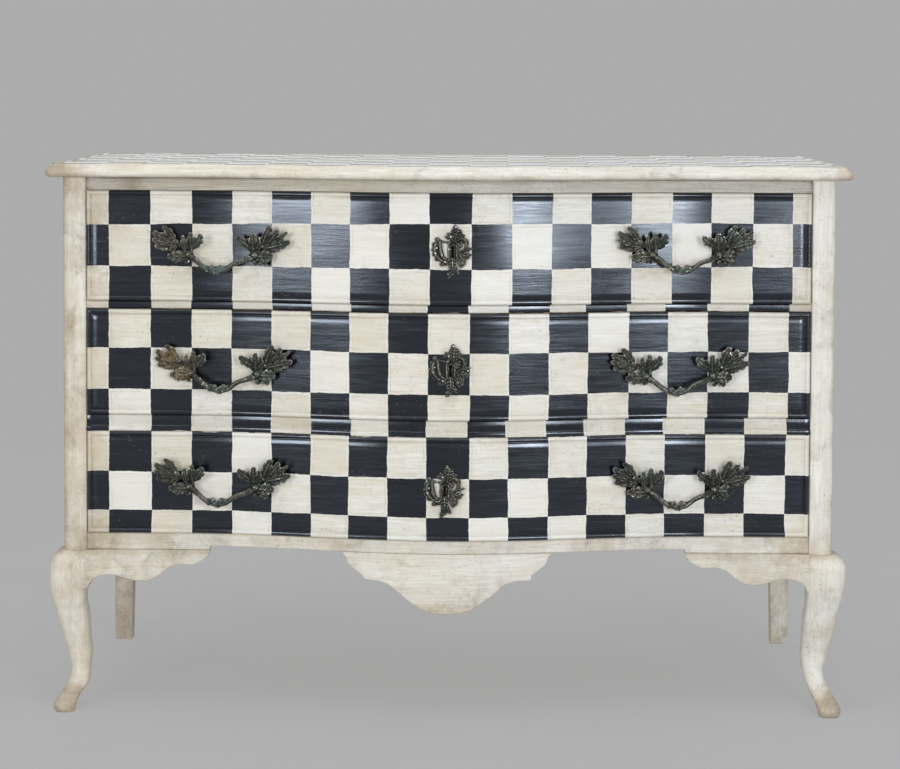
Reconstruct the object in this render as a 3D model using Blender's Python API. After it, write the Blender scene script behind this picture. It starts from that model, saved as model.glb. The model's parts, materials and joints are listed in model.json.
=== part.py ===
# Serpentine chest of three drawers on short cabriole legs, painted in checks, with
# cast leaf handles and pierced escutcheons. Metres, +Z up, the front faces -Y.
# The origin is on the floor, under the middle of the whole chest. Sizes along Y are
# counted from the plane of the rails' flat ends, which the chest's empty carries.
import math

import bmesh
import bpy
from mathutils import Matrix

# Case
CASE_WIDTH = 1.228
CASE_DEPTH = 0.528
SEAT_GAP = 0.0003
CUT_OVERRUN = 0.02
EASED_EDGE = 0.0015

# Serpentine front: one long swell in the middle that runs out to flat ends
SWELL = 0.058
SWELL_HALF_SPAN = 0.420
SWELL_STEPS = 18

# Top board
TOP_SIDE_OVERHANG = 0.026
TOP_THICKNESS = 0.0211
TOP_FRONT_OVERHANG = 0.026
TOP_BACK_OVERHANG = 0.006
TOP_SWELL = 0.070
TOP_EDGE_ROUND = 0.014
TOP_CORNER = 0.012

# Base
LEG_HEIGHT = 0.255
KNEE_SWELL = 0.016
REAR_LEG_TOP = 0.036
REAR_LEG_FOOT = 0.030
APRON_THICKNESS = 0.020
BRACKET_WIDTH = 0.1935
BRACKET_DEPTH = 0.059
PENDANT_HALF_WIDTH = 0.165
PENDANT_DEPTH = 0.0957
REAR_APRON_DEPTH = 0.060
BASE_RAIL_ARCH = 0.0060
LEG_SIDES = 14

# Corner posts, stiles and panels
POST_WIDTH = 0.036
POST_DEPTH = 0.040
POST_PROUD = 0.006
POST_FILLET = 0.006
POST_ROUND = 0.008
PANEL_THICKNESS = 0.016
PANEL_INSET = 0.0045
TONGUE_LENGTH = 0.008
TONGUE_THICKNESS = 0.0076
REAR_STILE_INSET = 0.0095
BACK_BOARD_THICKNESS = 0.008
BACK_BOARD_INSET = 0.006

# Rails across the front, and the heights of what they part
BOTTOM_RAIL_HEIGHT = 0.0275
LOWER_DRAWER_HEIGHT = 0.1632
LOWER_RAIL_HEIGHT = 0.0255
MIDDLE_DRAWER_HEIGHT = 0.168
UPPER_RAIL_HEIGHT = 0.0125
UPPER_DRAWER_HEIGHT = 0.175
TOP_RAIL_HEIGHT = 0.0202
TOP_REAR_RAIL_HEIGHT = 0.060
REAR_RAIL_THICKNESS = 0.022
RAIL_BACK = 0.062
RAIL_LIP_HEIGHT = 0.008
RAIL_LIP_PROUD = 0.004
DRAWER_GAP = 0.001

# Runners
RUNNER_THICKNESS = 0.0125
RUNNER_WIDTH = 0.050
GUIDE_HEIGHT = 0.014
GUIDE_CLEARANCE = 0.0015

# Drawers
DRAWER_SIDE_CLEARANCE = 0.0025
FRONT_THICKNESS = 0.020
FIELD_PROUD = 0.006
BEAD_WIDTH = 0.008
BEAD_PROUD = 0.002
DRAWER_SIDE_THICKNESS = 0.012
DRAWER_SIDE_DROP = 0.012
DRAWER_BACK_DROP = 0.008
DRAWER_BACK_GAP = 0.012
DRAWER_BOTTOM_THICKNESS = 0.005
DRAWER_BOTTOM_RISE = 0.008
GROOVE_DEPTH = 0.006
TAIL_LENGTH = 0.010
TAIL_COUNT = 3

# Handles: two leaf sprays joined by a drooping branch, cast in one piece
HANDLE_HALF_WIDTH = 0.109
HANDLE_RISE = 0.044
HANDLE_PROUD = 0.028
BRANCH_RADIUS = 0.0038
LEAF_THICKNESS = 0.0034
BOSS_RADIUS = 0.0062
BOSS_HEIGHT = 0.0106
STUD_RADIUS = 0.0025
STUD_TAIL = 0.007
STUD_CLEARANCE = 0.0004
BRANCH_SIDES = 5
STUD_SIDES = 6
STEPS_PER_LOBE = 2
LEAST_LEAF_STEPS = 2

# Escutcheons, locks and their bolts
ESCUTCHEON_HALF_WIDTH = 0.033
ESCUTCHEON_HALF_HEIGHT = 0.042
ESCUTCHEON_DROP = 0.006
ESCUTCHEON_PLATE = 0.0030
SCROLL_SIDES = 4
KEYHOLE_RADIUS = 0.0036
KEYHOLE_SLOT_WIDTH = 0.0046
KEYHOLE_DROP = 0.0160
LOCK_WIDTH = 0.070
LOCK_HEIGHT = 0.108
LOCK_DEPTH = 0.012
LOCK_RECESS = 0.002
LOCK_TOP_INSET = 0.001
KEY_POCKET_DEPTH = 0.007
BOLT_WIDTH = 0.024
BOLT_THICKNESS = 0.005
BOLT_LENGTH = 0.040
BOLT_TRAVEL = 0.0065
BOLT_CLEARANCE = 0.0004

# Each drawer: name, height, handle height and keyhole height above the drawer's lower
# edge, and how far the keyhole stands to the right of the middle
DRAWERS = (
    ("lower", LOWER_DRAWER_HEIGHT, 0.0732, 0.0852, -0.0035),
    ("middle", MIDDLE_DRAWER_HEIGHT, 0.0640, 0.0853, 0.0050),
    ("upper", UPPER_DRAWER_HEIGHT, 0.0740, 0.0901, 0.0075),
)
# The handles stand this far in from the drawer's ends, and were fitted by eye: how far
# to the right of that place each one is, and how far above its drawer's handle height,
# the left one first
HANDLE_INSET = 0.2115
HANDLE_SHIFTS = {
    "lower": ((0.0063, 0.0), (0.0076, 0.0)),
    "middle": ((0.0090, 0.0), (0.0040, 0.0)),
    "upper": ((0.0050, -0.0035), (0.0118, 0.0)),
}

# Shapes as shares of the sizes above
# Leg: height share, then how far the outer side, the front and the inner side stand out
# from the post; the first two as shares of the knee's swell, the last of the post's width
LEG_SHARES = (
    (0.000, 0.62, 2.10, -0.444),
    (0.015, 0.81, 2.25, -0.417),
    (0.040, 0.88, 2.30, -0.375),
    (0.070, 0.69, 1.95, -0.306),
    (0.108, 0.25, 1.00, -0.167),
    (0.155, -0.22, 0.25, 0.000),
    (0.200, -0.56, -0.30, 0.083),
    (0.270, -0.78, -0.70, 0.180),
    (0.347, -0.72, -0.70, 0.236),
    (0.425, -0.47, -0.47, 0.250),
    (0.502, -0.22, -0.22, 0.236),
    (0.598, 0.13, 0.13, 0.167),
    (0.680, 0.48, 0.48, 0.083),
    (0.760, 0.79, 0.79, 0.083),
    (0.849, 1.00, 1.00, 0.083),
    (0.915, 1.00, 1.00, 0.083),
    (0.965, 0.75, 0.75, 0.083),
    (1.000, 0.31, 0.31, 0.083),
)
LEG_TOP_INNER_SHARE = LEG_SHARES[-1][3]
# Bracket: share of its width from the leg, and share of its depth
BRACKET_SHARES = (
    (0.000, 1.000),
    (0.013, 0.881),
    (0.044, 0.788),
    (0.096, 0.720),
    (0.152, 0.695),
    (0.214, 0.703),
    (0.313, 0.805),
    (0.411, 0.864),
    (0.483, 0.856),
    (0.556, 0.763),
    (0.618, 0.602),
    (0.672, 0.475),
    (0.726, 0.415),
    (0.845, 0.420),
    (0.891, 0.373),
    (0.933, 0.297),
    (0.979, 0.183),
    (1.000, 0.060),
)
# Pendant: share of its half width from the middle, and share of its depth
PENDANT_SHARES = (
    (0.000, 1.000),
    (0.080, 0.994),
    (0.158, 0.977),
    (0.230, 0.930),
    (0.303, 0.857),
    (0.427, 0.700),
    (0.556, 0.522),
    (0.642, 0.470),
    (0.727, 0.457),
    (0.809, 0.449),
    (0.815, 0.376),
    (0.885, 0.287),
    (0.952, 0.183),
    (0.967, 0.104),
    (1.000, 0.030),
)
# Side apron: share of its length from the front leg, and share of the bracket's depth
SIDE_APRON_SHARES = (
    (0.00, 0.90),
    (0.04, 0.74),
    (0.10, 0.70),
    (0.16, 0.78),
    (0.22, 0.74),
    (0.30, 0.50),
    (0.50, 0.44),
    (0.70, 0.50),
    (0.78, 0.74),
    (0.84, 0.78),
    (0.90, 0.70),
    (0.96, 0.74),
    (1.00, 0.90),
)
# Edge bead of a drawer front: share of its width from the edge, and share of its height
BEAD_SHARES = ((0.0, -0.60), (0.22, 0.75), (0.62, 1.00), (0.92, -0.35), (1.15, 0.00))
# Rounded edge of the top: share of the thickness, and share of the edge's rounding
TOP_EDGE_SHARES = (
    (0.00, 0.48),
    (0.07, 0.18),
    (0.22, 0.02),
    (0.38, 0.00),
    (0.52, 0.12),
    (0.70, 0.42),
    (0.88, 0.78),
    (1.00, 1.00),
)
TAIL_ROOT_SHARE = 0.24
TAIL_END_SHARE = 0.34
LEG_SQUARENESS_SHARE = 0.55
# Leaf: where its outline starts and how much of a half wave it fills, the depth of the
# lobes and the width of its stalk, then its rib, the rib's taper and its hollow back
LEAF_ROOT_SHARE = 0.12
LEAF_BODY_SHARE = 0.80
LOBE_SHARE = 0.24
LEAF_STALK_SHARE = 0.45
LEAF_CROWN_SHARE = 1.10
LEAF_TAPER_SHARE = 0.50
LEAF_BACK_SHARE = 0.45
# Handle, from its middle: shares of its half width, its rise and how far it stands out
NODE_SHARE = 0.495
BRANCH_SHARES = (
    (-0.59, 0.46, 0.50, 0.85),
    (-0.54, 0.22, 0.44, 1.15),
    (-0.48, 0.02, 0.44, 1.35),
    (-0.38, -0.10, 0.92, 0.95),
    (-0.25, -0.37, 1.00, 0.90),
    (-0.14, -0.54, 1.00, 1.05),
    (-0.03, -0.58, 1.02, 1.25),
    (0.08, -0.51, 1.00, 1.10),
    (0.18, -0.30, 0.98, 0.90),
    (0.30, -0.11, 0.88, 0.90),
    (0.41, -0.04, 0.52, 1.10),
    (0.50, 0.08, 0.42, 1.40),
    (0.59, 0.40, 0.50, 0.90),
)
# Leaf: root, tip, then its width as a share of the half width, and its number of lobes
SPRAY_SHARES = (
    ((-0.57, 0.42, 0.47), (-0.98, 0.86, 0.66), 0.28, 3),
    ((-0.66, 0.56, 0.50), (-0.81, 1.10, 0.66), 0.12, 1),
    ((-0.64, 0.50, 0.49), (-0.96, 0.36, 0.60), 0.14, 1),
    ((-0.53, 0.20, 0.44), (-0.52, 0.78, 0.62), 0.11, 1),
    ((-0.48, 0.02, 0.50), (-0.34, 0.88, 0.74), 0.14, 2),
    ((-0.46, 0.02, 0.44), (-0.79, -0.04, 0.56), 0.17, 2),
    ((0.48, 0.06, 0.44), (0.77, -0.15, 0.56), 0.19, 2),
    ((0.51, 0.12, 0.44), (0.51, 0.76, 0.62), 0.14, 1),
    ((0.51, 0.28, 0.46), (0.25, 0.70, 0.70), 0.13, 1),
    ((0.57, 0.34, 0.47), (1.00, 0.62, 0.66), 0.24, 3),
    ((0.66, 0.46, 0.50), (0.74, 1.04, 0.66), 0.13, 1),
)
KNOT_SHARES = ((-0.17, -0.42, 1.03), (0.06, -0.60, 1.05), 0.11, 2)
# Escutcheon leaves: root, tip, width as shares of its half sizes, and number of lobes
CARTOUCHE_LEAF_SHARES = (
    ((0.05, 0.30), (0.20, 0.86), 0.34, 3),
    ((0.04, 0.32), (-0.26, 0.73), 0.15, 1),
    ((0.18, 0.64), (0.13, 1.02), 0.12, 1),
    ((-0.16, 0.33), (-0.78, 0.50), 0.10, 1),
    ((-0.70, 0.06), (-1.02, 0.06), 0.08, 1),
    ((-0.36, -0.32), (-0.62, -0.53), 0.10, 1),
    ((0.36, 0.02), (0.96, 0.13), 0.08, 1),
    ((0.26, -0.12), (0.90, -0.11), 0.09, 1),
    ((0.00, -0.30), (-0.16, -0.98), 0.17, 2),
    ((0.08, -0.36), (0.30, -0.82), 0.11, 1),
)
# Escutcheon scrolls: centre, radii and rod as shares of its half sizes, and the arc
CARTOUCHE_SCROLL_SHARES = (
    ((-0.38, 0.07), (0.40, 0.43), 0.115, 120.0, 262.0),
    ((0.41, 0.25), (0.26, 0.23), 0.080, 205.0, -95.0),
    ((0.19, -0.33), (0.34, 0.26), 0.085, 80.0, -70.0),
)
# Escutcheon plate round the keyhole
CARTOUCHE_PLATE_SHARES = (
    (-0.12, 0.40),
    (-0.27, 0.30),
    (-0.27, 0.00),
    (-0.22, -0.32),
    (-0.13, -0.52),
    (0.15, -0.52),
    (0.22, -0.32),
    (0.25, 0.00),
    (0.27, 0.30),
    (0.12, 0.40),
)
SCROLL_FLATNESS_SHARE = 0.60
SCROLL_HEIGHT_SHARE = 1.05
SCROLL_STEPS = 5

# Heights and planes worked out from those sizes
CASE_HALF = CASE_WIDTH / 2
TOP_WIDTH = CASE_WIDTH + 2 * TOP_SIDE_OVERHANG
POST_INNER = CASE_HALF - POST_WIDTH
POST_BACK = POST_DEPTH - POST_PROUD
RAIL_HALF = POST_INNER - SEAT_GAP
DRAWER_HALF = POST_INNER - DRAWER_SIDE_CLEARANCE
CASE_BOTTOM = LEG_HEIGHT + SEAT_GAP
STILE_OUTER = CASE_HALF - REAR_STILE_INSET
STILE_INNER = STILE_OUTER - REAR_LEG_TOP
STILE_BACK = CASE_DEPTH - BACK_BOARD_THICKNESS - SEAT_GAP
STILE_FRONT = STILE_BACK - REAR_LEG_TOP
PANEL_OUTER = STILE_OUTER - PANEL_INSET
PANEL_INNER = PANEL_OUTER - PANEL_THICKNESS
FRONT_BACK_FACE = FRONT_THICKNESS - FIELD_PROUD
DRAWER_BACK = STILE_FRONT - DRAWER_BACK_GAP
FRONT_PLANE = (TOP_SWELL + TOP_FRONT_OVERHANG - CASE_DEPTH - TOP_BACK_OVERHANG) / 2
LEG_INNER = POST_INNER - POST_WIDTH * LEG_TOP_INNER_SHARE
LEG_BACK = POST_WIDTH * (1 + LEG_TOP_INNER_SHARE) - POST_PROUD


def swell_at(x, depth=SWELL):
    """How far forward (-Y) the serpentine front stands at x."""
    if abs(x) >= SWELL_HALF_SPAN:
        return 0.0
    return -depth * (1 + math.cos(math.pi * x / SWELL_HALF_SPAN)) / 2


def spread(low, high, steps):
    return [low + (high - low) * step / steps for step in range(steps + 1)]


def along_rail(half_width, places=()):
    """Places along X for a board that follows the serpentine, ends included."""
    reach = min(SWELL_HALF_SPAN, half_width)
    found = set(spread(-reach, reach, SWELL_STEPS)) | {-half_width, half_width}
    found |= {place for place in places if abs(place) < half_width}
    kept = []
    for place in sorted(found):
        if not kept or place - kept[-1] > SEAT_GAP:
            kept.append(place)
    kept[-1] = half_width
    return kept


# Scene, materials and basic solids


def clear_scene():
    for item in list(bpy.data.objects):
        bpy.data.objects.remove(item, do_unlink=True)


def finish_material(name, colour, roughness, metallic):
    material = bpy.data.materials.new(name)
    material.use_nodes = True
    shader = material.node_tree.nodes["Principled BSDF"]
    shader.inputs["Base Color"].default_value = (*colour, 1.0)
    shader.inputs["Roughness"].default_value = roughness
    shader.inputs["Metallic"].default_value = metallic
    material.diffuse_color = (*colour, 1.0)
    return material


def add_mesh(name, vertices, faces, material):
    mesh = bpy.data.meshes.new(name)
    mesh.from_pydata(vertices, [], faces)
    shell = bmesh.new()
    shell.from_mesh(mesh)
    bmesh.ops.recalc_face_normals(shell, faces=shell.faces)
    if shell.calc_volume(signed=True) < 0:
        bmesh.ops.reverse_faces(shell, faces=shell.faces)
    shell.to_mesh(mesh)
    shell.free()
    item = bpy.data.objects.new(name, mesh)
    bpy.context.scene.collection.objects.link(item)
    if material:
        mesh.materials.append(material)
    return item


def smooth(item, angle_degrees=35.0):
    item.data.shade_smooth()
    item.data.set_sharp_from_angle(angle=math.radians(angle_degrees))
    return item


def loft(name, rings, material):
    """A closed skin over rings of equal length, with a flat cap at each end."""
    count = len(rings[0])
    vertices = [point for ring in rings for point in ring]
    faces = []
    for row in range(len(rings) - 1):
        for side in range(count):
            turn = (side + 1) % count
            low, high = row * count, (row + 1) * count
            faces.append((low + side, low + turn, high + turn, high + side))
    faces.append(tuple(range(count)))
    faces.append(tuple(range(len(vertices) - count, len(vertices))))
    return add_mesh(name, vertices, faces, material)


def prism(name, outline, axis, low, high, material):
    """An outline pushed straight along X, Y or Z from low to high."""

    def place(first, second, along):
        if axis == "X":
            return (along, first, second)
        if axis == "Y":
            return (first, along, second)
        return (first, second, along)

    rings = [[place(a, b, along) for a, b in outline] for along in (low, high)]
    return loft(name, rings, material)


def box(name, low, high, material):
    outline = ((low[0], low[1]), (high[0], low[1]), (high[0], high[1]), (low[0], high[1]))
    return prism(name, outline, "Z", low[2], high[2], material)


def ease_edges(item, width=EASED_EDGE):
    bevel = item.modifiers.new("eased edges", "BEVEL")
    bevel.width = width
    bevel.segments = 1
    bevel.limit_method = "ANGLE"
    return item


def as_cutter(item):
    item.hide_render = True
    item.display_type = "WIRE"
    return item


def cut(item, cutter):
    boolean = item.modifiers.new(cutter.name, "BOOLEAN")
    boolean.operation = "DIFFERENCE"
    boolean.object = as_cutter(cutter)
    return item


def fused(name, pieces):
    """One mesh from pieces that overlap, joined one after another."""
    body = pieces[0]
    for piece in pieces[1:]:
        boolean = body.modifiers.new(piece.name, "BOOLEAN")
        boolean.operation = "UNION"
        boolean.use_self = True
        boolean.object = piece
    bpy.context.view_layer.update()
    graph = bpy.context.evaluated_depsgraph_get()
    mesh = bpy.data.meshes.new_from_object(body.evaluated_get(graph))
    mesh.name = name
    for piece in pieces:
        bpy.data.objects.remove(piece, do_unlink=True)
    return mesh


def place_mesh(name, mesh, location, material):
    item = bpy.data.objects.new(name, mesh)
    item.location = location
    if not mesh.materials:
        mesh.materials.append(material)
    bpy.context.scene.collection.objects.link(item)
    return item


def hang_on(empty, items):
    for item in items:
        item.parent = empty
        item.matrix_parent_inverse = Matrix.Translation(empty.location).inverted()


def add_empty(name, location):
    empty = bpy.data.objects.new(name, None)
    empty.location = location
    empty.empty_display_size = BOLT_LENGTH
    bpy.context.scene.collection.objects.link(empty)
    return empty


def side_name(side):
    return "right" if side > 0 else "left"


def mirrored(outline, side):
    return [(side * x, y) for x, y in outline]


# Case


def front_post(side, low, high, material):
    """A half-round column with a flat fillet beside the drawers and a groove behind."""
    round_middle = (POST_INNER + POST_FILLET + CASE_HALF) / 2
    round_half = (CASE_HALF - POST_INNER - POST_FILLET) / 2
    fillet_front = POST_ROUND - POST_PROUD
    outline = [(POST_INNER, fillet_front)]
    for turn in spread(0.0, math.pi, 10):
        across = round_middle - round_half * math.cos(turn)
        outline.append((across, fillet_front - POST_ROUND * math.sin(turn)))
    outline.append((CASE_HALF, POST_BACK))
    outline += groove_points(POST_BACK, -1)
    outline.append((POST_INNER, POST_BACK))
    name = f"{side_name(side)}_front_post"
    return smooth(prism(name, mirrored(outline, side), "Z", low, high, material), 40.0)


def groove_points(plane, into):
    """The groove for a side panel's tongue, outer corner first."""
    middle = (PANEL_OUTER + PANEL_INNER) / 2
    half = TONGUE_THICKNESS / 2 + SEAT_GAP
    floor = plane + into * (TONGUE_LENGTH + SEAT_GAP)
    return [
        (middle + half, plane),
        (middle + half, floor),
        (middle - half, floor),
        (middle - half, plane),
    ]


def rear_stile(side, low, high, material):
    outline = [(STILE_OUTER, STILE_FRONT)]
    outline += groove_points(STILE_FRONT, 1)
    outline += [
        (STILE_INNER, STILE_FRONT),
        (STILE_INNER, STILE_BACK),
        (STILE_OUTER, STILE_BACK),
    ]
    name = f"{side_name(side)}_rear_stile"
    return prism(name, mirrored(outline, side), "Z", low, high, material)


def side_panel(side, low, high, material):
    front = POST_BACK + SEAT_GAP
    back = STILE_FRONT - SEAT_GAP
    middle = (PANEL_OUTER + PANEL_INNER) / 2
    half = TONGUE_THICKNESS / 2
    outline = [
        (PANEL_OUTER, front),
        (PANEL_OUTER, back),
        (middle + half, back),
        (middle + half, back + TONGUE_LENGTH),
        (middle - half, back + TONGUE_LENGTH),
        (middle - half, back),
        (PANEL_INNER, back),
        (PANEL_INNER, front),
        (middle - half, front),
        (middle - half, front - TONGUE_LENGTH),
        (middle + half, front - TONGUE_LENGTH),
        (middle + half, front),
    ]
    name = f"{side_name(side)}_side_panel"
    return prism(name, mirrored(outline, side), "Z", low, high, material)


def curved_rail(name, low_at, high, material, lip=0.0, places=()):
    """A rail whose front follows the serpentine; lip is a low ledge along its foot."""
    rings = []
    for x in along_rail(RAIL_HALF, places):
        face, low = swell_at(x), low_at(x)
        ring = [(x, face + EASED_EDGE, high), (x, face, high - EASED_EDGE)]
        if lip:
            ring.append((x, face, low + lip))
            ring.append((x, face - RAIL_LIP_PROUD, low + lip - RAIL_LIP_PROUD / 2))
            ring.append((x, face - RAIL_LIP_PROUD, low))
        else:
            ring.append((x, face, low + EASED_EDGE))
            ring.append((x, face + EASED_EDGE, low))
        ring += [(x, RAIL_BACK, low), (x, RAIL_BACK, high)]
        rings.append(ring)
    return smooth(loft(name, rings, material))


def bottom_rail_low(x):
    """The lowest rail is shallower between the two brackets."""
    bracket_end = LEG_INNER - SEAT_GAP - BRACKET_WIDTH
    return CASE_BOTTOM + (BASE_RAIL_ARCH if abs(x) < bracket_end else 0.0)


def runner(name, side, top, material):
    """A ledge that a drawer side slides on, with an upright guide beside it."""
    guide = DRAWER_HALF + GUIDE_CLEARANCE
    outer = PANEL_INNER - SEAT_GAP
    inner = outer - RUNNER_WIDTH
    outline = (
        (inner, top - RUNNER_THICKNESS),
        (outer, top - RUNNER_THICKNESS),
        (outer, top + GUIDE_HEIGHT),
        (guide, top + GUIDE_HEIGHT),
        (guide, top),
        (inner, top),
    )
    front = RAIL_BACK + SEAT_GAP
    return prism(name, mirrored(outline, side), "Y", front, STILE_FRONT - SEAT_GAP, material)


def top_board(low, material):
    """The top: a serpentine front edge, clipped corners, and a rounded moulding."""
    half = TOP_WIDTH / 2
    back = CASE_DEPTH + TOP_BACK_OVERHANG
    rings = []
    for height_share, inset_share in TOP_EDGE_SHARES:
        inset = inset_share * TOP_EDGE_ROUND
        ring = []
        for x in along_rail(half - TOP_CORNER):
            forward = swell_at(x, TOP_SWELL) - TOP_FRONT_OVERHANG
            ring.append((x, forward + inset, low + height_share * TOP_THICKNESS))
        for x, y in (
            (half - TOP_CORNER / 3, TOP_CORNER / 3 - TOP_FRONT_OVERHANG),
            (half, TOP_CORNER - TOP_FRONT_OVERHANG),
        ):
            ring.append((x - inset, y + inset / 2, low + height_share * TOP_THICKNESS))
        ring.append((half - inset, back, low + height_share * TOP_THICKNESS))
        ring.append((inset - half, back, low + height_share * TOP_THICKNESS))
        for x, y in (
            (half, TOP_CORNER - TOP_FRONT_OVERHANG),
            (half - TOP_CORNER / 3, TOP_CORNER / 3 - TOP_FRONT_OVERHANG),
        ):
            ring.append((inset - x, y + inset / 2, low + height_share * TOP_THICKNESS))
        rings.append(ring)
    return smooth(loft("top", rings, material), 50.0)


# Base


def leg_ring(height, outer, front, inner, squareness):
    """A rounded square between the leg's four sides; squareness 0 is round."""
    width = outer - inner
    middle_x, middle_y = (outer + inner) / 2, front + width / 2
    power = 1 - LEG_SQUARENESS_SHARE * squareness
    ring = []
    for turn in spread(0.0, 2 * math.pi, LEG_SIDES)[:-1]:
        turn += math.pi / LEG_SIDES
        across, along = math.cos(turn), math.sin(turn)
        ring.append(
            (
                middle_x + math.copysign(abs(across) ** power, across) * width / 2,
                middle_y + math.copysign(abs(along) ** power, along) * width / 2,
                height,
            )
        )
    return ring


def widest(ring_power):
    """How far a rounded square of this power reaches, as a share of its half width."""
    return math.cos(math.pi / LEG_SIDES) ** ring_power


def front_leg(side, material):
    """A short cabriole leg: a full knee, a slim ankle and a scrolled toe."""
    rings = []
    for height_share, outer_share, front_share, inner_share in LEG_SHARES:
        squareness = 1.0 if height_share > 0.6 else 0.35 + 0.5 * height_share
        outer = CASE_HALF + outer_share * KNEE_SWELL
        front = -POST_PROUD - front_share * KNEE_SWELL
        inner = POST_INNER - inner_share * POST_WIDTH
        reach = widest(1 - LEG_SQUARENESS_SHARE * squareness)
        grow = (outer - inner) * (1 / reach - 1) / 2
        ring = leg_ring(
            height_share * LEG_HEIGHT, outer + grow, front - grow, inner - grow, squareness
        )
        rings.append([(side * x, y, z) for x, y, z in ring])
    return smooth(loft(f"{side_name(side)}_front_leg", rings, material), 60.0)


def rear_leg(side, material):
    """A plain square block that tapers on its front and inner sides."""
    rings = []
    for height, width in ((0.0, REAR_LEG_FOOT), (LEG_HEIGHT, REAR_LEG_TOP)):
        inner, front = STILE_OUTER - width, STILE_BACK - width
        ring = (
            (inner, front),
            (STILE_OUTER, front),
            (STILE_OUTER, STILE_BACK),
            (inner, STILE_BACK),
        )
        rings.append([(side * x, y, height) for x, y in ring])
    return loft(f"{side_name(side)}_rear_leg", rings, material)


def apron_bracket(side, material):
    """The shaped ear between a front leg and the plain middle of the rail."""
    start = LEG_INNER - SEAT_GAP
    outline = [(start, LEG_HEIGHT)]
    for width_share, depth_share in BRACKET_SHARES:
        across = start - width_share * BRACKET_WIDTH
        outline.append((across, LEG_HEIGHT - depth_share * BRACKET_DEPTH))
    outline.append((start - BRACKET_WIDTH, LEG_HEIGHT))
    name = f"{side_name(side)}_apron_bracket"
    bracket = prism(name, mirrored(outline, side), "Y", 0.0, APRON_THICKNESS, material)
    return ease_edges(bracket)


def centre_pendant(material):
    """The shaped drop in the middle, curved like the rail above it."""
    top = CASE_BOTTOM + BASE_RAIL_ARCH - SEAT_GAP
    places = [(-share, depth) for share, depth in reversed(PENDANT_SHARES[1:])]
    places += list(PENDANT_SHARES)
    rings = []
    for width_share, depth_share in places:
        x = width_share * PENDANT_HALF_WIDTH
        low = top - depth_share * PENDANT_DEPTH
        front = swell_at(x)
        back = front + APRON_THICKNESS
        rings.append(
            [
                (x, front, top),
                (x, front, low + EASED_EDGE),
                (x, front + EASED_EDGE, low),
                (x, back - EASED_EDGE, low),
                (x, back, low + EASED_EDGE),
                (x, back, top),
            ]
        )
    return smooth(loft("centre_apron_pendant", rings, material))


def side_apron(side, material):
    """A shaped board between the front and the rear leg."""
    front, back = LEG_BACK + SEAT_GAP, STILE_FRONT - SEAT_GAP
    outline = [(front, LEG_HEIGHT)]
    for length_share, depth_share in SIDE_APRON_SHARES:
        along = front + length_share * (back - front)
        outline.append((along, LEG_HEIGHT - depth_share * BRACKET_DEPTH))
    outline.append((back, LEG_HEIGHT))
    name = f"{side_name(side)}_side_apron"
    low, high = sorted((side * (PANEL_OUTER - APRON_THICKNESS), side * PANEL_OUTER))
    return ease_edges(prism(name, outline, "X", low, high, material))


# Drawers


def bead_rise(edge):
    """Height of the drawer front's face above its field, at this distance in."""
    previous_share, previous_rise = BEAD_SHARES[0]
    for share, rise in BEAD_SHARES[1:]:
        if edge <= share * BEAD_WIDTH:
            part = (edge / BEAD_WIDTH - previous_share) / (share - previous_share)
            return BEAD_PROUD * (previous_rise + (rise - previous_rise) * part)
        previous_share, previous_rise = share, rise
    return 0.0


def front_face(x):
    """The plane of a drawer front's field at x."""
    return swell_at(x) - FIELD_PROUD


def front_facet(x):
    """The same field at x as the board's flat facets have it."""
    if abs(x) >= SWELL_HALF_SPAN:
        return front_face(x)
    step = 2 * SWELL_HALF_SPAN / SWELL_STEPS
    low = step * math.floor((x + SWELL_HALF_SPAN) / step) - SWELL_HALF_SPAN
    part = (x - low) / step
    return front_face(low) * (1 - part) + front_face(low + step) * part


def drawer_front(name, low, high, material):
    """A serpentine board with a moulded bead round its face."""
    steps = [share * BEAD_WIDTH for share, _ in BEAD_SHARES]
    inner = DRAWER_HALF - steps[-1]
    across = along_rail(inner, ())
    across = [step - DRAWER_HALF for step in steps[:-1]] + across
    across += [DRAWER_HALF - step for step in reversed(steps[:-1])]
    heights = [low + step for step in steps] + [high - step for step in reversed(steps)]
    rings = []
    for x in across:
        ring = []
        for z in heights:
            edge = min(DRAWER_HALF - abs(x), z - low, high - z)
            ring.append((x, front_face(x) - bead_rise(max(edge, 0.0)), z))
        back = swell_at(x) + FRONT_BACK_FACE
        ring += [(x, back, high), (x, back, low)]
        rings.append(ring)
    return smooth(loft(name, rings, material))


def tail_outlines(low, high, grow):
    """Dovetails at the front end of a drawer side, in Y and Z."""
    pitch = (high - low) / TAIL_COUNT
    root = FRONT_BACK_FACE + SEAT_GAP
    tip = root - TAIL_LENGTH - grow
    found = []
    for count in range(TAIL_COUNT):
        middle = low + pitch * (count + 0.5)
        root_half = pitch * TAIL_ROOT_SHARE + grow
        tip_half = pitch * TAIL_END_SHARE + grow
        found.append(
            (
                (root, middle - root_half),
                (tip, middle - tip_half),
                (tip, middle + tip_half),
                (root, middle + root_half),
            )
        )
    return found


def drawer_side(name, side, low, high, material):
    inner = DRAWER_HALF - DRAWER_SIDE_THICKNESS
    outline = [(DRAWER_BACK, low), (FRONT_BACK_FACE + SEAT_GAP, low)]
    for tail in tail_outlines(low, high, 0.0):
        outline += tail
    outline += [(FRONT_BACK_FACE + SEAT_GAP, high), (DRAWER_BACK, high)]
    ends = sorted((side * inner, side * DRAWER_HALF))
    return prism(name, outline, "X", *ends, material)


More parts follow.
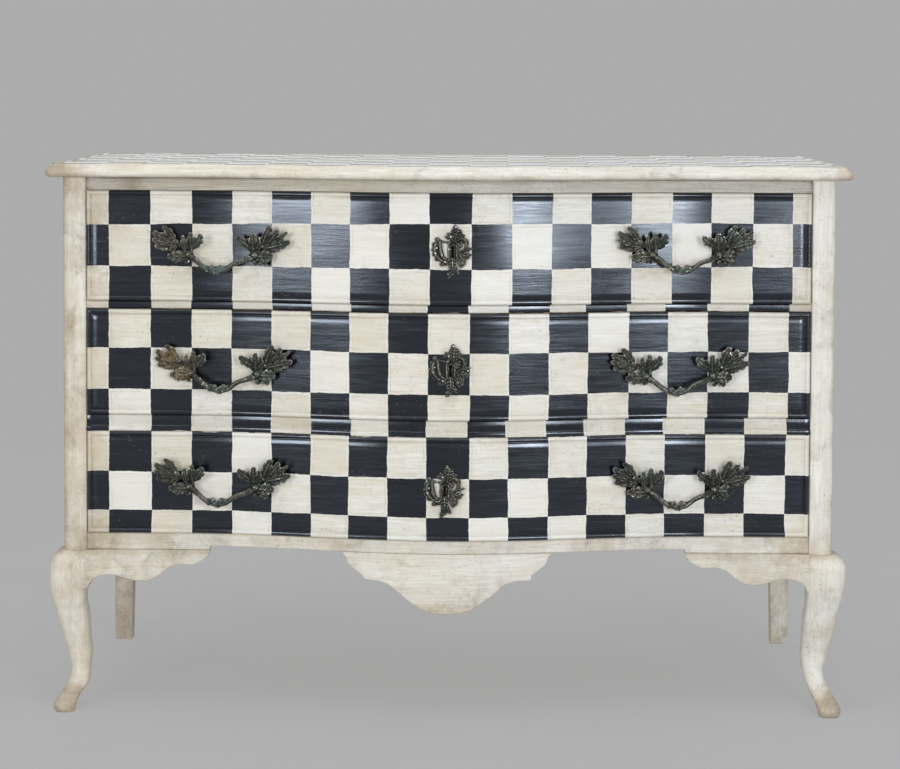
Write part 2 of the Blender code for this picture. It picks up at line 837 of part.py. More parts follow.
def socket_cutters(name, side, low, high):
    """Cutters for the sockets that a drawer side's dovetails sit in."""
    inner = DRAWER_HALF - DRAWER_SIDE_THICKNESS - SEAT_GAP
    ends = sorted((side * inner, side * (DRAWER_HALF + CUT_OVERRUN)))
    found = []
    for count, tail in enumerate(tail_outlines(low, high, SEAT_GAP)):
        root_low, tip_low, tip_high, root_high = tail
        reach = FRONT_BACK_FACE + CUT_OVERRUN
        outline = (
            (reach, root_low[1]),
            root_low,
            tip_low,
            tip_high,
            root_high,
            (reach, root_high[1]),
        )
        found.append(prism(f"{name}_{count}", outline, "X", *ends, None))
    return found


def bottom_outline(grow):
    """A drawer bottom in X and Y: it follows the front's curved back in its groove."""
    half = DRAWER_HALF - DRAWER_SIDE_THICKNESS + GROOVE_DEPTH - SEAT_GAP + grow
    edge = FRONT_BACK_FACE - GROOVE_DEPTH + SEAT_GAP - grow
    outline = [(x, swell_at(x) + edge) for x in along_rail(half)]
    back = DRAWER_BACK + (CUT_OVERRUN if grow else 0.0)
    return outline + [(half, back), (-half, back)]


def keyhole_outline(grow):
    """A round eye with a slot below it, in X and Z about the eye's middle."""
    radius = KEYHOLE_RADIUS + grow
    half = KEYHOLE_SLOT_WIDTH / 2 + grow
    start = math.asin(half / radius)
    outline = [(-half, -KEYHOLE_DROP - grow), (half, -KEYHOLE_DROP - grow)]
    for turn in spread(start, 2 * math.pi - start, 10):
        outline.append((radius * math.sin(turn), -radius * math.cos(turn)))
    return outline


def keyhole_cutter(name, x, z, front, back, grow=0.0):
    outline = [(x + across, z + up) for across, up in keyhole_outline(grow)]
    return prism(name, outline, "Y", front, back, None)


def lock_back_plane(x):
    """The floor of the recess that a lock is let into."""
    return swell_at(x) + FRONT_BACK_FACE - LOCK_RECESS


def lock_box(x, top, grow=0.0):
    """The lock case's two corners."""
    front = lock_back_plane(x) + SEAT_GAP
    high = top - LOCK_TOP_INSET
    low_corner = (x - LOCK_WIDTH / 2 - grow, front - grow, high - LOCK_HEIGHT - grow)
    return low_corner, (x + LOCK_WIDTH / 2 + grow, front + LOCK_DEPTH, high)


def bolt_box(x, top, grow=0.0):
    """The bolt's two corners when it is drawn back into its case."""
    middle = lock_back_plane(x) + SEAT_GAP + LOCK_DEPTH / 2
    high = top - LOCK_TOP_INSET
    half_width = BOLT_WIDTH / 2 + grow
    half_depth = BOLT_THICKNESS / 2 + grow
    low_corner = (x - half_width, middle - half_depth, high - BOLT_LENGTH - min(grow, SEAT_GAP))
    return low_corner, (x + half_width, middle + half_depth, high)


def add_lock(drawer, x, top, keyhole_z, iron):
    low_corner, high_corner = lock_box(x, top)
    case = box(f"{drawer}_lock_case", low_corner, high_corner, iron)
    channel_low, channel_high = bolt_box(x, top, BOLT_CLEARANCE)
    channel_high = (channel_high[0], channel_high[1], channel_high[2] + CUT_OVERRUN)
    cut(case, box(f"{drawer}_bolt_channel", channel_low, channel_high, None))
    pocket = low_corner[1] + KEY_POCKET_DEPTH
    name = f"{drawer}_key_pocket"
    cut(case, keyhole_cutter(name, x, keyhole_z, low_corner[1] - CUT_OVERRUN, pocket))
    bolt = box(f"{drawer}_lock_bolt", *bolt_box(x, top), iron)
    return case, bolt


def mortise_cutter(name, x, drawer_top, rail_low):
    """The slot that a bolt rises into, in the rail above its drawer."""
    low_corner, high_corner = bolt_box(x, drawer_top, BOLT_CLEARANCE)
    reach = drawer_top - LOCK_TOP_INSET + BOLT_TRAVEL + BOLT_CLEARANCE
    low_corner = (low_corner[0], low_corner[1], rail_low - CUT_OVERRUN)
    return box(name, low_corner, (high_corner[0], high_corner[1], reach), None)


# Handles and escutcheons


def tube(name, centres, radii, sides, flatness=1.0):
    """A bent tube through centres, each with its own radius, in X, Y and Z."""
    rings = []
    last = len(centres) - 1
    for index, (centre, radius) in enumerate(zip(centres, radii)):
        before, after = centres[max(index - 1, 0)], centres[min(index + 1, last)]
        run_x, run_z = after[0] - before[0], after[2] - before[2]
        length = math.hypot(run_x, run_z)
        side_x, side_z = -run_z / length, run_x / length
        ring = []
        for turn in spread(0.0, 2 * math.pi, sides)[:-1]:
            across, out = radius * math.cos(turn), radius * flatness * math.sin(turn)
            ring.append(
                (centre[0] + side_x * across, centre[1] + out, centre[2] + side_z * across)
            )
        rings.append(ring)
    return loft(name, rings, None)


def leaf(name, root, tip, width, lobes, thickness):
    """A lobed leaf with a raised rib, in X, out from the face, and up."""
    run_x, run_z = tip[0] - root[0], tip[2] - root[2]
    length = math.hypot(run_x, run_z)
    side_x, side_z = -run_z / length, run_x / length
    rings = []
    for part in spread(0.0, 1.0, max(LEAST_LEAF_STEPS, STEPS_PER_LOBE * lobes)):
        body = math.sin(math.pi * (LEAF_ROOT_SHARE + LEAF_BODY_SHARE * part))
        notch = 1 + LOBE_SHARE * math.cos(2 * math.pi * lobes * part)
        half = width / 2 * body * notch * (LEAF_STALK_SHARE if part == 0.0 else 1.0)
        x = root[0] + run_x * part
        z = root[2] + run_z * part
        out = root[1] + (tip[1] - root[1]) * part
        rings.append(
            [
                (x + side_x * half, out, z + side_z * half),
                (x, out - thickness * (LEAF_CROWN_SHARE - LEAF_TAPER_SHARE * part), z),
                (x - side_x * half, out, z - side_z * half),
                (x, out + thickness * LEAF_BACK_SHARE, z),
            ]
        )
    return loft(name, rings, None)


def handle_mesh(name, middle_x, material):
    """The casting for one place on the swell, about the middle of its foot line."""
    low_x = middle_x - NODE_SHARE * HANDLE_HALF_WIDTH
    high_x = middle_x + NODE_SHARE * HANDLE_HALF_WIDTH
    low_y, high_y = front_face(low_x), front_face(high_x)

    def seat(u):
        """The line through the two bosses, at u out from the handle's middle."""
        part = (middle_x + u - low_x) / (high_x - low_x)
        return low_y + (high_y - low_y) * part

    def at(u_share, rise_share, out_share):
        u = u_share * HANDLE_HALF_WIDTH
        return (u, seat(u) - out_share * HANDLE_PROUD, rise_share * HANDLE_RISE)

    centres, radii = [], []
    for u_share, rise_share, out_share, radius_share in BRANCH_SHARES:
        centres.append(at(u_share, rise_share, out_share))
        radii.append(radius_share * BRANCH_RADIUS)
    pieces = [tube("branch", centres, radii, BRANCH_SIDES)]
    for root, tip, width_share, lobes in (*SPRAY_SHARES, KNOT_SHARES):
        width = width_share * HANDLE_HALF_WIDTH
        pieces.append(leaf("spray_leaf", at(*root), at(*tip), width, lobes, LEAF_THICKNESS))
    for end in (-1, 1):
        u = end * NODE_SHARE * HANDLE_HALF_WIDTH
        pieces.append(boss(middle_x, u, seat(u) - BOSS_HEIGHT))
        pieces.append(stud(middle_x, u, seat(u) - BOSS_HEIGHT / 2))
    return finish_casting(fused(name, pieces), material)


def finish_casting(mesh, material):
    mesh.materials.append(material)
    mesh.shade_smooth()
    mesh.set_sharp_from_angle(angle=math.radians(45.0))
    return mesh


def boss(middle_x, u, front):
    """The foot of a spray, cut to the drawer front's slope."""
    rings = []
    for share in (1.0, 0.75):
        ring = []
        for turn in spread(0.0, 2 * math.pi, STUD_SIDES)[:-1]:
            across = BOSS_RADIUS * math.cos(turn)
            up = BOSS_RADIUS * math.sin(turn)
            foot = front_facet(middle_x + u + across) - SEAT_GAP
            y = foot if share == 1.0 else front
            ring.append((u + across * share, y, up * share))
        rings.append(ring)
    return loft("boss", rings, None)


def stud(middle_x, u, front):
    """The threaded end that goes through the drawer front."""
    back = swell_at(middle_x + u) + FRONT_BACK_FACE + STUD_TAIL
    outline = []
    for turn in spread(0.0, 2 * math.pi, STUD_SIDES)[:-1]:
        across = STUD_RADIUS * math.cos(turn)
        outline.append((u + across, STUD_RADIUS * math.sin(turn)))
    return prism("stud", outline, "Y", front, back, None)


def stud_hole(name, x, z):
    outline = []
    radius = STUD_RADIUS + STUD_CLEARANCE
    for turn in spread(0.0, 2 * math.pi, STUD_SIDES)[:-1]:
        outline.append((x + radius * math.cos(turn), z + radius * math.sin(turn)))
    plane = swell_at(x)
    front = plane - FIELD_PROUD - CUT_OVERRUN
    return prism(name, outline, "Y", front, plane + FRONT_BACK_FACE + CUT_OVERRUN, None)


def escutcheon_mesh(x, material):
    """A pierced cartouche about its keyhole, bent to the drawer front at x."""

    def bend(piece):
        for vertex in piece.data.vertices:
            vertex.co.y += front_face(x + vertex.co.x) - SEAT_GAP
            vertex.co.z -= ESCUTCHEON_DROP

    outline = [
        (across * ESCUTCHEON_HALF_WIDTH, up * ESCUTCHEON_HALF_HEIGHT)
        for across, up in CARTOUCHE_PLATE_SHARES
    ]
    pieces = [prism("plate", outline, "Y", -ESCUTCHEON_PLATE, 0.0, None)]
    for root, tip, leaf_share, lobes in CARTOUCHE_LEAF_SHARES:
        points = []
        for across, up in (root, tip):
            out = -LEAF_THICKNESS * 0.45
            points.append((across * ESCUTCHEON_HALF_WIDTH, out, up * ESCUTCHEON_HALF_HEIGHT))
        width = 2 * leaf_share * ESCUTCHEON_HALF_WIDTH
        pieces.append(leaf("cartouche_leaf", *points, width, lobes, LEAF_THICKNESS))
    for centre, radii, rod_share, start, end in CARTOUCHE_SCROLL_SHARES:
        rod = rod_share * ESCUTCHEON_HALF_WIDTH
        lift = SCROLL_HEIGHT_SHARE * SCROLL_FLATNESS_SHARE * rod
        centres, widths = [], []
        for turn in spread(math.radians(start), math.radians(end), SCROLL_STEPS):
            across = (centre[0] + radii[0] * math.cos(turn)) * ESCUTCHEON_HALF_WIDTH
            up = (centre[1] + radii[1] * math.sin(turn)) * ESCUTCHEON_HALF_HEIGHT
            centres.append((across, -lift, up))
            widths.append(rod)
        pieces.append(tube("scroll", centres, widths, SCROLL_SIDES, SCROLL_FLATNESS_SHARE))
    for piece in pieces:
        bend(piece)
    return finish_casting(fused("escutcheon", pieces), material)


def add_drawer(level, low, finishes):
    """One drawer with its dovetailed box, handles, escutcheon and lock."""
    drawer, height, handle_rise, keyhole_rise, keyhole_x = level
    paint, wood, bronze, iron = finishes
    high = low + height
    box_low = low - DRAWER_GAP + SEAT_GAP
    box_high = high - DRAWER_SIDE_DROP
    handle_z, keyhole_z = low + handle_rise, low + keyhole_rise
    name = f"{drawer}_drawer"
    front = drawer_front(f"{name}_front", low, high, paint)
    bottom_low = box_low + DRAWER_BOTTOM_RISE
    bottom_high = bottom_low + DRAWER_BOTTOM_THICKNESS
    bottom = prism(f"{name}_bottom", bottom_outline(0.0), "Z", bottom_low, bottom_high, wood)
    groove = prism(
        f"{name}_groove",
        bottom_outline(SEAT_GAP),
        "Z",
        bottom_low - SEAT_GAP,
        bottom_high + SEAT_GAP,
        None,
    )
    cut(front, groove)
    pieces = [front, bottom]
    for side in (-1, 1):
        board = drawer_side(f"{name}_{side_name(side)}_side", side, box_low, box_high, wood)
        pieces.append(cut(board, groove))
        sockets = socket_cutters(f"{name}_{side_name(side)}_socket", side, box_low, box_high)
        for socket in sockets:
            cut(front, socket)
    inner = DRAWER_HALF - DRAWER_SIDE_THICKNESS - SEAT_GAP
    back_low = (-inner, DRAWER_BACK - DRAWER_SIDE_THICKNESS, bottom_high + SEAT_GAP)
    back_high = (inner, DRAWER_BACK, box_high - DRAWER_BACK_DROP)
    pieces.append(box(f"{name}_back", back_low, back_high, wood))

    recess_low, recess_high = lock_box(keyhole_x, high, SEAT_GAP)
    recess_high = (recess_high[0], recess_high[1] + CUT_OVERRUN, high + CUT_OVERRUN)
    cut(front, box(f"{name}_lock_recess", recess_low, recess_high, None))
    through = (swell_at(keyhole_x) - CUT_OVERRUN, swell_at(keyhole_x) + CUT_OVERRUN)
    cut(front, keyhole_cutter(f"{name}_keyhole", keyhole_x, keyhole_z, *through))
    for side, (shift, lift) in zip((-1, 1), HANDLE_SHIFTS[drawer]):
        handle = f"{drawer}_{side_name(side)}_handle"
        middle_x = side * (DRAWER_HALF - HANDLE_INSET) + shift
        casting = handle_mesh(handle, middle_x, bronze)
        stud_z = handle_z + lift
        pieces.append(place_mesh(handle, casting, (middle_x, 0.0, stud_z), bronze))
        for end in (-1, 1):
            x = middle_x + end * NODE_SHARE * HANDLE_HALF_WIDTH
            cut(front, stud_hole(f"{handle}_hole_{end + 1}", x, stud_z))
    escutcheon = escutcheon_mesh(keyhole_x, bronze)
    plate = place_mesh(f"{drawer}_escutcheon", escutcheon, (keyhole_x, 0.0, keyhole_z), bronze)
    eye = keyhole_cutter(f"{name}_escutcheon_eye", keyhole_x, keyhole_z, *through)
    pieces.append(cut(plate, eye))
    case, bolt = add_lock(drawer, keyhole_x, high, keyhole_z, iron)
    pieces.append(case)
    slide = add_empty(f"{drawer}_drawer_slide", (0.0, front_face(0.0), (low + high) / 2))
    hang_on(slide, pieces)
    bolt_middle = lock_back_plane(keyhole_x) + SEAT_GAP + LOCK_DEPTH / 2
    throw = add_empty(f"{drawer}_bolt_throw", (keyhole_x, bolt_middle, high - BOLT_LENGTH / 2))
    hang_on(throw, [bolt])
    hang_on(slide, [throw])
    return high


def build():
    clear_scene()
    cream = finish_material("cream paint", (0.76, 0.72, 0.63), 0.55, 0.0)
    checks = finish_material("checked paint", (0.30, 0.30, 0.32), 0.40, 0.0)
    pine = finish_material("bare pine", (0.58, 0.42, 0.26), 0.70, 0.0)
    bronze = finish_material("dark bronze", (0.10, 0.085, 0.055), 0.42, 0.9)
    iron = finish_material("lock iron", (0.16, 0.15, 0.14), 0.50, 0.9)

    bottom_rail_high = CASE_BOTTOM + BOTTOM_RAIL_HEIGHT
    lower_low = bottom_rail_high + DRAWER_GAP
    lower_rail_low = lower_low + LOWER_DRAWER_HEIGHT + DRAWER_GAP
    middle_low = lower_rail_low + LOWER_RAIL_HEIGHT + DRAWER_GAP
    upper_rail_low = middle_low + MIDDLE_DRAWER_HEIGHT + DRAWER_GAP
    upper_low = upper_rail_low + UPPER_RAIL_HEIGHT + DRAWER_GAP
    top_rail_low = upper_low + UPPER_DRAWER_HEIGHT + DRAWER_GAP
    case_high = top_rail_low + TOP_RAIL_HEIGHT

    finishes = (checks, pine, bronze, iron)
    for level, low in zip(DRAWERS, (lower_low, middle_low, upper_low)):
        add_drawer(level, low, finishes)

    bracket_end = LEG_INNER - SEAT_GAP - BRACKET_WIDTH
    step = (bracket_end, bracket_end - EASED_EDGE)
    places = step + tuple(-place for place in step)
    curved_rail("bottom_front_rail", bottom_rail_low, bottom_rail_high, cream, 0.0, places)
    rails = (
        ("lower_drawer_rail", lower_rail_low, LOWER_RAIL_HEIGHT, checks, RAIL_LIP_HEIGHT),
        ("upper_drawer_rail", upper_rail_low, UPPER_RAIL_HEIGHT, checks, 0.0),
        ("top_front_rail", top_rail_low, TOP_RAIL_HEIGHT, cream, 0.0),
    )
    for (name, low, rail_height, finish, lip), level in zip(rails, DRAWERS):
        rail = curved_rail(name, lambda x, low=low: low, low + rail_height, finish, lip)
        cut(rail, mortise_cutter(f"{name}_mortise", level[4], low - DRAWER_GAP, low))
    for name, level_top in (
        ("lower", bottom_rail_high),
        ("middle", middle_low - DRAWER_GAP),
        ("upper", upper_low - DRAWER_GAP),
    ):
        for side in (-1, 1):
            runner(f"{name}_{side_name(side)}_runner", side, level_top, pine)

    for side in (-1, 1):
        front_post(side, CASE_BOTTOM, case_high, cream)
        rear_stile(side, CASE_BOTTOM, case_high, cream)
        side_panel(side, CASE_BOTTOM, case_high, cream)
        front_leg(side, cream)
        rear_leg(side, cream)
        apron_bracket(side, cream)
        side_apron(side, cream)
    centre_pendant(cream)
    top_board(case_high + SEAT_GAP, cream)

    stile_gap = STILE_INNER - SEAT_GAP
    rear_low = (-stile_gap, STILE_BACK - REAR_RAIL_THICKNESS, case_high - TOP_REAR_RAIL_HEIGHT)
    box("top_rear_rail", rear_low, (stile_gap, STILE_BACK, case_high), pine)
    rear_low = (-stile_gap, STILE_BACK - APRON_THICKNESS, LEG_HEIGHT - REAR_APRON_DEPTH)
    box("rear_apron", rear_low, (stile_gap, STILE_BACK, LEG_HEIGHT), cream)
    back_half = STILE_OUTER - BACK_BOARD_INSET
    middle = (CASE_BOTTOM + case_high) / 2
    back_front = STILE_BACK + SEAT_GAP
    for name, low, high in (
        ("lower_back_board", CASE_BOTTOM, middle - SEAT_GAP / 2),
        ("upper_back_board", middle + SEAT_GAP / 2, case_high),
    ):
        box(name, (-back_half, back_front, low), (back_half, CASE_DEPTH, high), pine)

    chest = add_empty("chest", (0.0, FRONT_PLANE, 0.0))
    for item in list(bpy.data.objects):
        if item is not chest and item.parent is None:
            item.parent = chest


build()
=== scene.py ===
import json
import math

import bmesh
import bpy
import numpy as np
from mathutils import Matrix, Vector, noise


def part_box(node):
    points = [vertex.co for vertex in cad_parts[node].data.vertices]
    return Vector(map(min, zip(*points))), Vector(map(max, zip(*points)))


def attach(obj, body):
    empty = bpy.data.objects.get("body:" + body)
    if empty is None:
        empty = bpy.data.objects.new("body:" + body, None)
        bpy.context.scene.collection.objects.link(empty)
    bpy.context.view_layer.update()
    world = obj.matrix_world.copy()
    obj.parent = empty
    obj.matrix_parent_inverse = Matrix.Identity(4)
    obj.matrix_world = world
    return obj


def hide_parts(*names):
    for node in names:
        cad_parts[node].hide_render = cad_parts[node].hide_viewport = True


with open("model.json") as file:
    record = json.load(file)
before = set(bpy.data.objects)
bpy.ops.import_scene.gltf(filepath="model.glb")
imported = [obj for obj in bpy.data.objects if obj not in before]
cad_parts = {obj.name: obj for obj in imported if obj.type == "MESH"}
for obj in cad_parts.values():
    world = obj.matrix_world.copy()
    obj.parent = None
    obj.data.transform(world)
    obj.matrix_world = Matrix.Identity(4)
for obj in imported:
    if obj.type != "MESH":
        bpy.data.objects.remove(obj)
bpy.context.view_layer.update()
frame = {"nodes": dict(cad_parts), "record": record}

stageScene = bpy.context.scene
bodyOf = {
    node: body
    for body, nodes in frame["record"]["behaviour"]["bodies"].items()
    for node in nodes
}
levels = ("lower", "middle", "upper")
mm = 0.001
noiseSeed = 1
noise.seed_set(noiseSeed)  # without a seed, noise vectors differ from run to run
print("frame loaded:", len(frame["nodes"]), "nodes")

# ---- the serpentine and the levels, read from the frame where it gives them

chest = {"swell": 0.058, "halfSpan": 0.420, "steps": 18, "topSwell": 0.070, "fieldProud": 0.006}
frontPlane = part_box("top_front_rail")[0].y + chest["swell"]


def swellAt(x, depth=chest["swell"]):
    if abs(x) >= chest["halfSpan"]:
        return 0.0
    return -depth * (1 + math.cos(math.pi * x / chest["halfSpan"])) / 2


def evenly(low, high, steps):
    return [low + (high - low) * step / steps for step in range(steps + 1)]


boardStations = evenly(-chest["halfSpan"], chest["halfSpan"], chest["steps"])


def chordAt(x, depth=chest["swell"], stations=boardStations):
    # Depth of the straight chords that the CAD node has between its stations
    for low, high in zip(stations, stations[1:]):
        if low <= x <= high:
            part = (x - low) / (high - low)
            return swellAt(low, depth) * (1 - part) + swellAt(high, depth) * part
    return swellAt(x, depth)


def quarterArc(steps):
    return [(math.sin(turn), math.cos(turn)) for turn in evenly(0.0, math.pi / 2, steps)]


def eased(table, place):
    # A smooth curve through the rows of a table, without overshoot
    if place <= table[0][0]:
        return table[0][1]
    if place >= table[-1][0]:
        return table[-1][1]
    slopes = [(b[1] - a[1]) / (b[0] - a[0]) for a, b in zip(table, table[1:])]
    tangents = [slopes[0]]
    for before, after in zip(slopes, slopes[1:]):
        tangents.append(0.0 if before * after <= 0 else 2 * before * after / (before + after))
    tangents.append(slopes[-1])
    for index in range(len(table) - 1):
        if place <= table[index + 1][0]:
            step = table[index + 1][0] - table[index][0]
            t = (place - table[index][0]) / step
            return (
                (2 * t**3 - 3 * t**2 + 1) * table[index][1]
                + (t**3 - 2 * t**2 + t) * step * tangents[index]
                + (3 * t**2 - 2 * t**3) * table[index + 1][1]
                + (t**3 - t**2) * step * tangents[index + 1]
            )
    return table[-1][1]


def roundedLine(points, steps, cornerDegrees=48):
    # A finer outline through the points that keeps their real corners
    found = []
    last = len(points) - 1

    def turnAt(index):
        if index in (0, last):
            return 180.0
        before = Vector(points[index]) - Vector(points[index - 1])
        after = Vector(points[index + 1]) - Vector(points[index])
        return math.degrees(before.angle(after, 0.0))

    for index in range(last):
        p1, p2 = Vector(points[index]), Vector(points[index + 1])
        p0 = 2 * p1 - p2 if turnAt(index) > cornerDegrees else Vector(points[index - 1])
        p3 = 2 * p2 - p1 if turnAt(index + 1) > cornerDegrees else Vector(points[index + 2])
        for step in range(steps):
            t = step / steps
            found.append(
                0.5 * (2 * p1 + (p2 - p0) * t + (2 * p0 - 5 * p1 + 4 * p2 - p3) * t**2
                       + (3 * p1 - p0 - 3 * p2 + p3) * t**3)
            )
    found.append(Vector(points[-1]))
    return found


# ---- node values: sockets that combine with + - and *, each step a node in their own tree

class Value:
    def __init__(self, tree, socket):
        self.tree, self.socket = tree, socket

    def __add__(self, other):
        return calc("ADD", self, other)

    def __sub__(self, other):
        return calc("SUBTRACT", self, other)

    def __rsub__(self, other):
        return calc("SUBTRACT", other, self)

    def __mul__(self, other):
        return calc("MULTIPLY", self, other)


def wire(tree, part, socket):
    if isinstance(part, Value):
        tree.links.new(part.socket, socket)
    elif part is not None:
        socket.default_value = part


def addNode(tree, kind, inputs=(), output=0, **settings):
    # One node, its inputs wired by name or number, as the value of one of its outputs
    made = tree.nodes.new(kind)
    for name, setting in settings.items():
        setattr(made, name, setting)
    for name, part in dict(inputs).items():
        wire(tree, part, made.inputs[name])
    return Value(tree, made.outputs[output])


def calc(operation, *parts, clamp=False):
    tree = next(part.tree for part in parts if isinstance(part, Value))
    return addNode(tree, "ShaderNodeMath", enumerate(parts), operation=operation, use_clamp=clamp)


def vecCalc(operation, first, second=None, output=0):
    return addNode(first.tree, "ShaderNodeVectorMath", {0: first, 1: second}, output, operation=operation)


def ramp(value, low, high, out=(0.0, 1.0)):
    limits = {"Value": value, "From Min": low, "From Max": high, "To Min": out[0], "To Max": out[1]}
    return addNode(value.tree, "ShaderNodeMapRange", limits, "Result", interpolation_type="SMOOTHSTEP")


def tint(factor, first, second):
    first, second = [(*part, 1.0) if isinstance(part, tuple) else part for part in (first, second)]
    return addNode(factor.tree, "ShaderNodeMix", {0: factor, 6: first, 7: second}, 2, data_type="RGBA")


def washes(colour, *rows):
    # Lays colours over one another, each by its mask and strength
    for mask, strength, over in rows:
        colour = tint(mask * strength, colour, over)
    return colour


def noiseAt(vector, scale, detail=3.0, roughness=0.55, distortion=0.0, output="Fac"):
    values = {"Vector": vector, "Scale": scale, "Detail": detail, "Roughness": roughness,
              "Distortion": distortion}
    return addNode(vector.tree, "ShaderNodeTexNoise", values, output)


def split(vector, kind="ShaderNodeSeparateXYZ"):
    made = addNode(vector.tree, kind, {0: vector}).socket.node
    return [Value(vector.tree, socket) for socket in made.outputs]


def newTree(name, kind, inputs, rule):
    # A node group: inputs by label and kind, and a rule that turns their values into the outputs
    tree = bpy.data.node_groups.new(name, kind)
    isShader = kind == "ShaderNodeTree"
    if not isShader:
        tree.is_modifier = True
    for label, socketKind in inputs.items():
        tree.interface.new_socket(name=label, in_out="INPUT", socket_type=f"NodeSocket{socketKind}")
    start = tree.nodes.new("NodeGroupInput")
    outputs = rule(**{label: Value(tree, start.outputs[label]) for label in inputs})
    outputKind = "NodeSocketFloat" if isShader else "NodeSocketGeometry"
    for label in outputs:
        tree.interface.new_socket(name=label, in_out="OUTPUT", socket_type=outputKind)
    end = tree.nodes.new("NodeGroupOutput")
    for label, value in outputs.items():
        wire(tree, value, end.inputs[label])
    return tree


def useGroup(group, place, **values):
    made = addNode(place.tree, "ShaderNodeGroup", node_tree=group).socket.node
    for name, part in dict(values, place=place).items():
        wire(place.tree, part, made.inputs[name])
    return {socket.name: Value(place.tree, socket) for socket in made.outputs}


# ---- shared effects

# Brush strokes: fine streaks along one way, with broader swathes under them
def brushRule(place, across, fineness):
    lines = vecCalc("MULTIPLY", place, across)
    return {"Streak": ramp(noiseAt(lines, fineness, 4.0, 0.62, 0.25), 0.30, 0.70),
            "Swathe": ramp(noiseAt(lines, 0.75, 2.0, 0.5, 0.4), 0.32, 0.68)}


# Grime: cloudy patches broken up by speckle
def grimeRule(place, scale, amount):
    clouds = noiseAt(place, scale, 5.0, 0.62, 0.6)
    patch = calc("DIVIDE", clouds - (0.82 - amount * 0.42), 0.20, clamp=True)
    speckle = ramp(noiseAt(place, 170.0, 3.0, 0.7), 0.30, 0.62, (0.45, 1.0))
    dots = ramp(noiseAt(place, 260.0, 2.0, 0.5), 0.66, 0.74)
    near = ramp(noiseAt(place, 11.0, 2.0, 0.5), 0.50, 0.62)
    return {"Patch": patch * speckle, "Speck": dots * near}


# Rubbed edges: where the rounded normal leaves the face's own
def wearRule(place, reach):
    rounded = addNode(place.tree, "ShaderNodeBevel", {"Radius": reach}, "Normal", samples=4)
    faceNormal = addNode(place.tree, "ShaderNodeNewGeometry", output="Normal")
    edge = ramp(vecCalc("DOT_PRODUCT", rounded, faceNormal, "Value"), 0.995, 0.90)
    return {"Mask": edge * ramp(noiseAt(place, 40.0, 4.0, 0.6), 0.40, 0.62)}


# Wood grain, running along the vector's X
def grainRule(place, scale):
    wood = addNode(place.tree, "ShaderNodeVectorMath", {0: place, "Scale": scale}, operation="SCALE")
    swirl = noiseAt(vecCalc("MULTIPLY", wood, (0.9, 3.0, 3.0)), 2.0, 2.0, 0.5, output="Color")
    bent = vecCalc("ADD", vecCalc("MULTIPLY", wood, (1.0, 18.0, 18.0)), swirl)
    hairs = noiseAt(vecCalc("MULTIPLY", wood, (6.0, 160.0, 160.0)), 4.0, 3.0)
    return {"Ring": ramp(calc("SINE", noiseAt(bent, 1.1, 1.0) * 46.0), -0.2, 1.0),
            "Fibre": ramp(hairs, 0.35, 0.65)}


brushGroup, grimeGroup, wearGroup, grainGroup = [
    newTree(name, "ShaderNodeTree", dict(inputs, place="Vector"), rule)
    for name, inputs, rule in (
        ("brushStrokes", {"across": "Vector", "fineness": "Float"}, brushRule),
        ("oldGrime", {"scale": "Float", "amount": "Float"}, grimeRule),
        ("rubbedEdges", {"reach": "Float"}, wearRule),
        ("woodGrain", {"scale": "Float"}, grainRule),
    )
]
print("shared effects ready")

# ---- materials

paint = {
    "warm": (0.730, 0.672, 0.545), "cool": (0.755, 0.740, 0.672), "chalk": (0.830, 0.820, 0.770),
    "glaze": (0.600, 0.525, 0.385), "tan": (0.420, 0.335, 0.220), "brown": (0.185, 0.138, 0.088),
    "dust": (0.300, 0.272, 0.222), "freckle": (0.240, 0.190, 0.130),
    "black": (0.0022, 0.0024, 0.0046), "slate": (0.0060, 0.0068, 0.0122),
    "scuff": (0.050, 0.053, 0.064), "fleck": (0.30, 0.27, 0.23), "grooveShade": (0.085, 0.065, 0.045),
    "roughness": 0.48, "blackRoughness": 0.130, "varnish": (0.0, 0.30), "varnishRoughness": 0.16,
    "gloss": 0.58, "glossTint": (0.76, 0.88, 1.0, 1.0), "relief": 0.0006, "edgeWear": 0.004,
}


def startMaterial(name):
    material = bpy.data.materials.new(name)
    material.use_nodes = True
    tree = material.node_tree
    return material, tree.nodes["Principled BSDF"], addNode(tree, "ShaderNodeTexCoord", output="Object")


def namedValue(tree, name, output="Fac"):
    return addNode(tree, "ShaderNodeAttribute", output=output, attribute_name=name)


def finishShader(shader, colour, rough, height, strength, distance):
    tree = colour.tree
    relief = {"Strength": strength, "Distance": distance, "Height": height}
    for name, part in (("Base Color", colour), ("Roughness", rough),
                       ("Normal", addNode(tree, "ShaderNodeBump", relief, "Normal"))):
        wire(tree, part, shader.inputs[name])


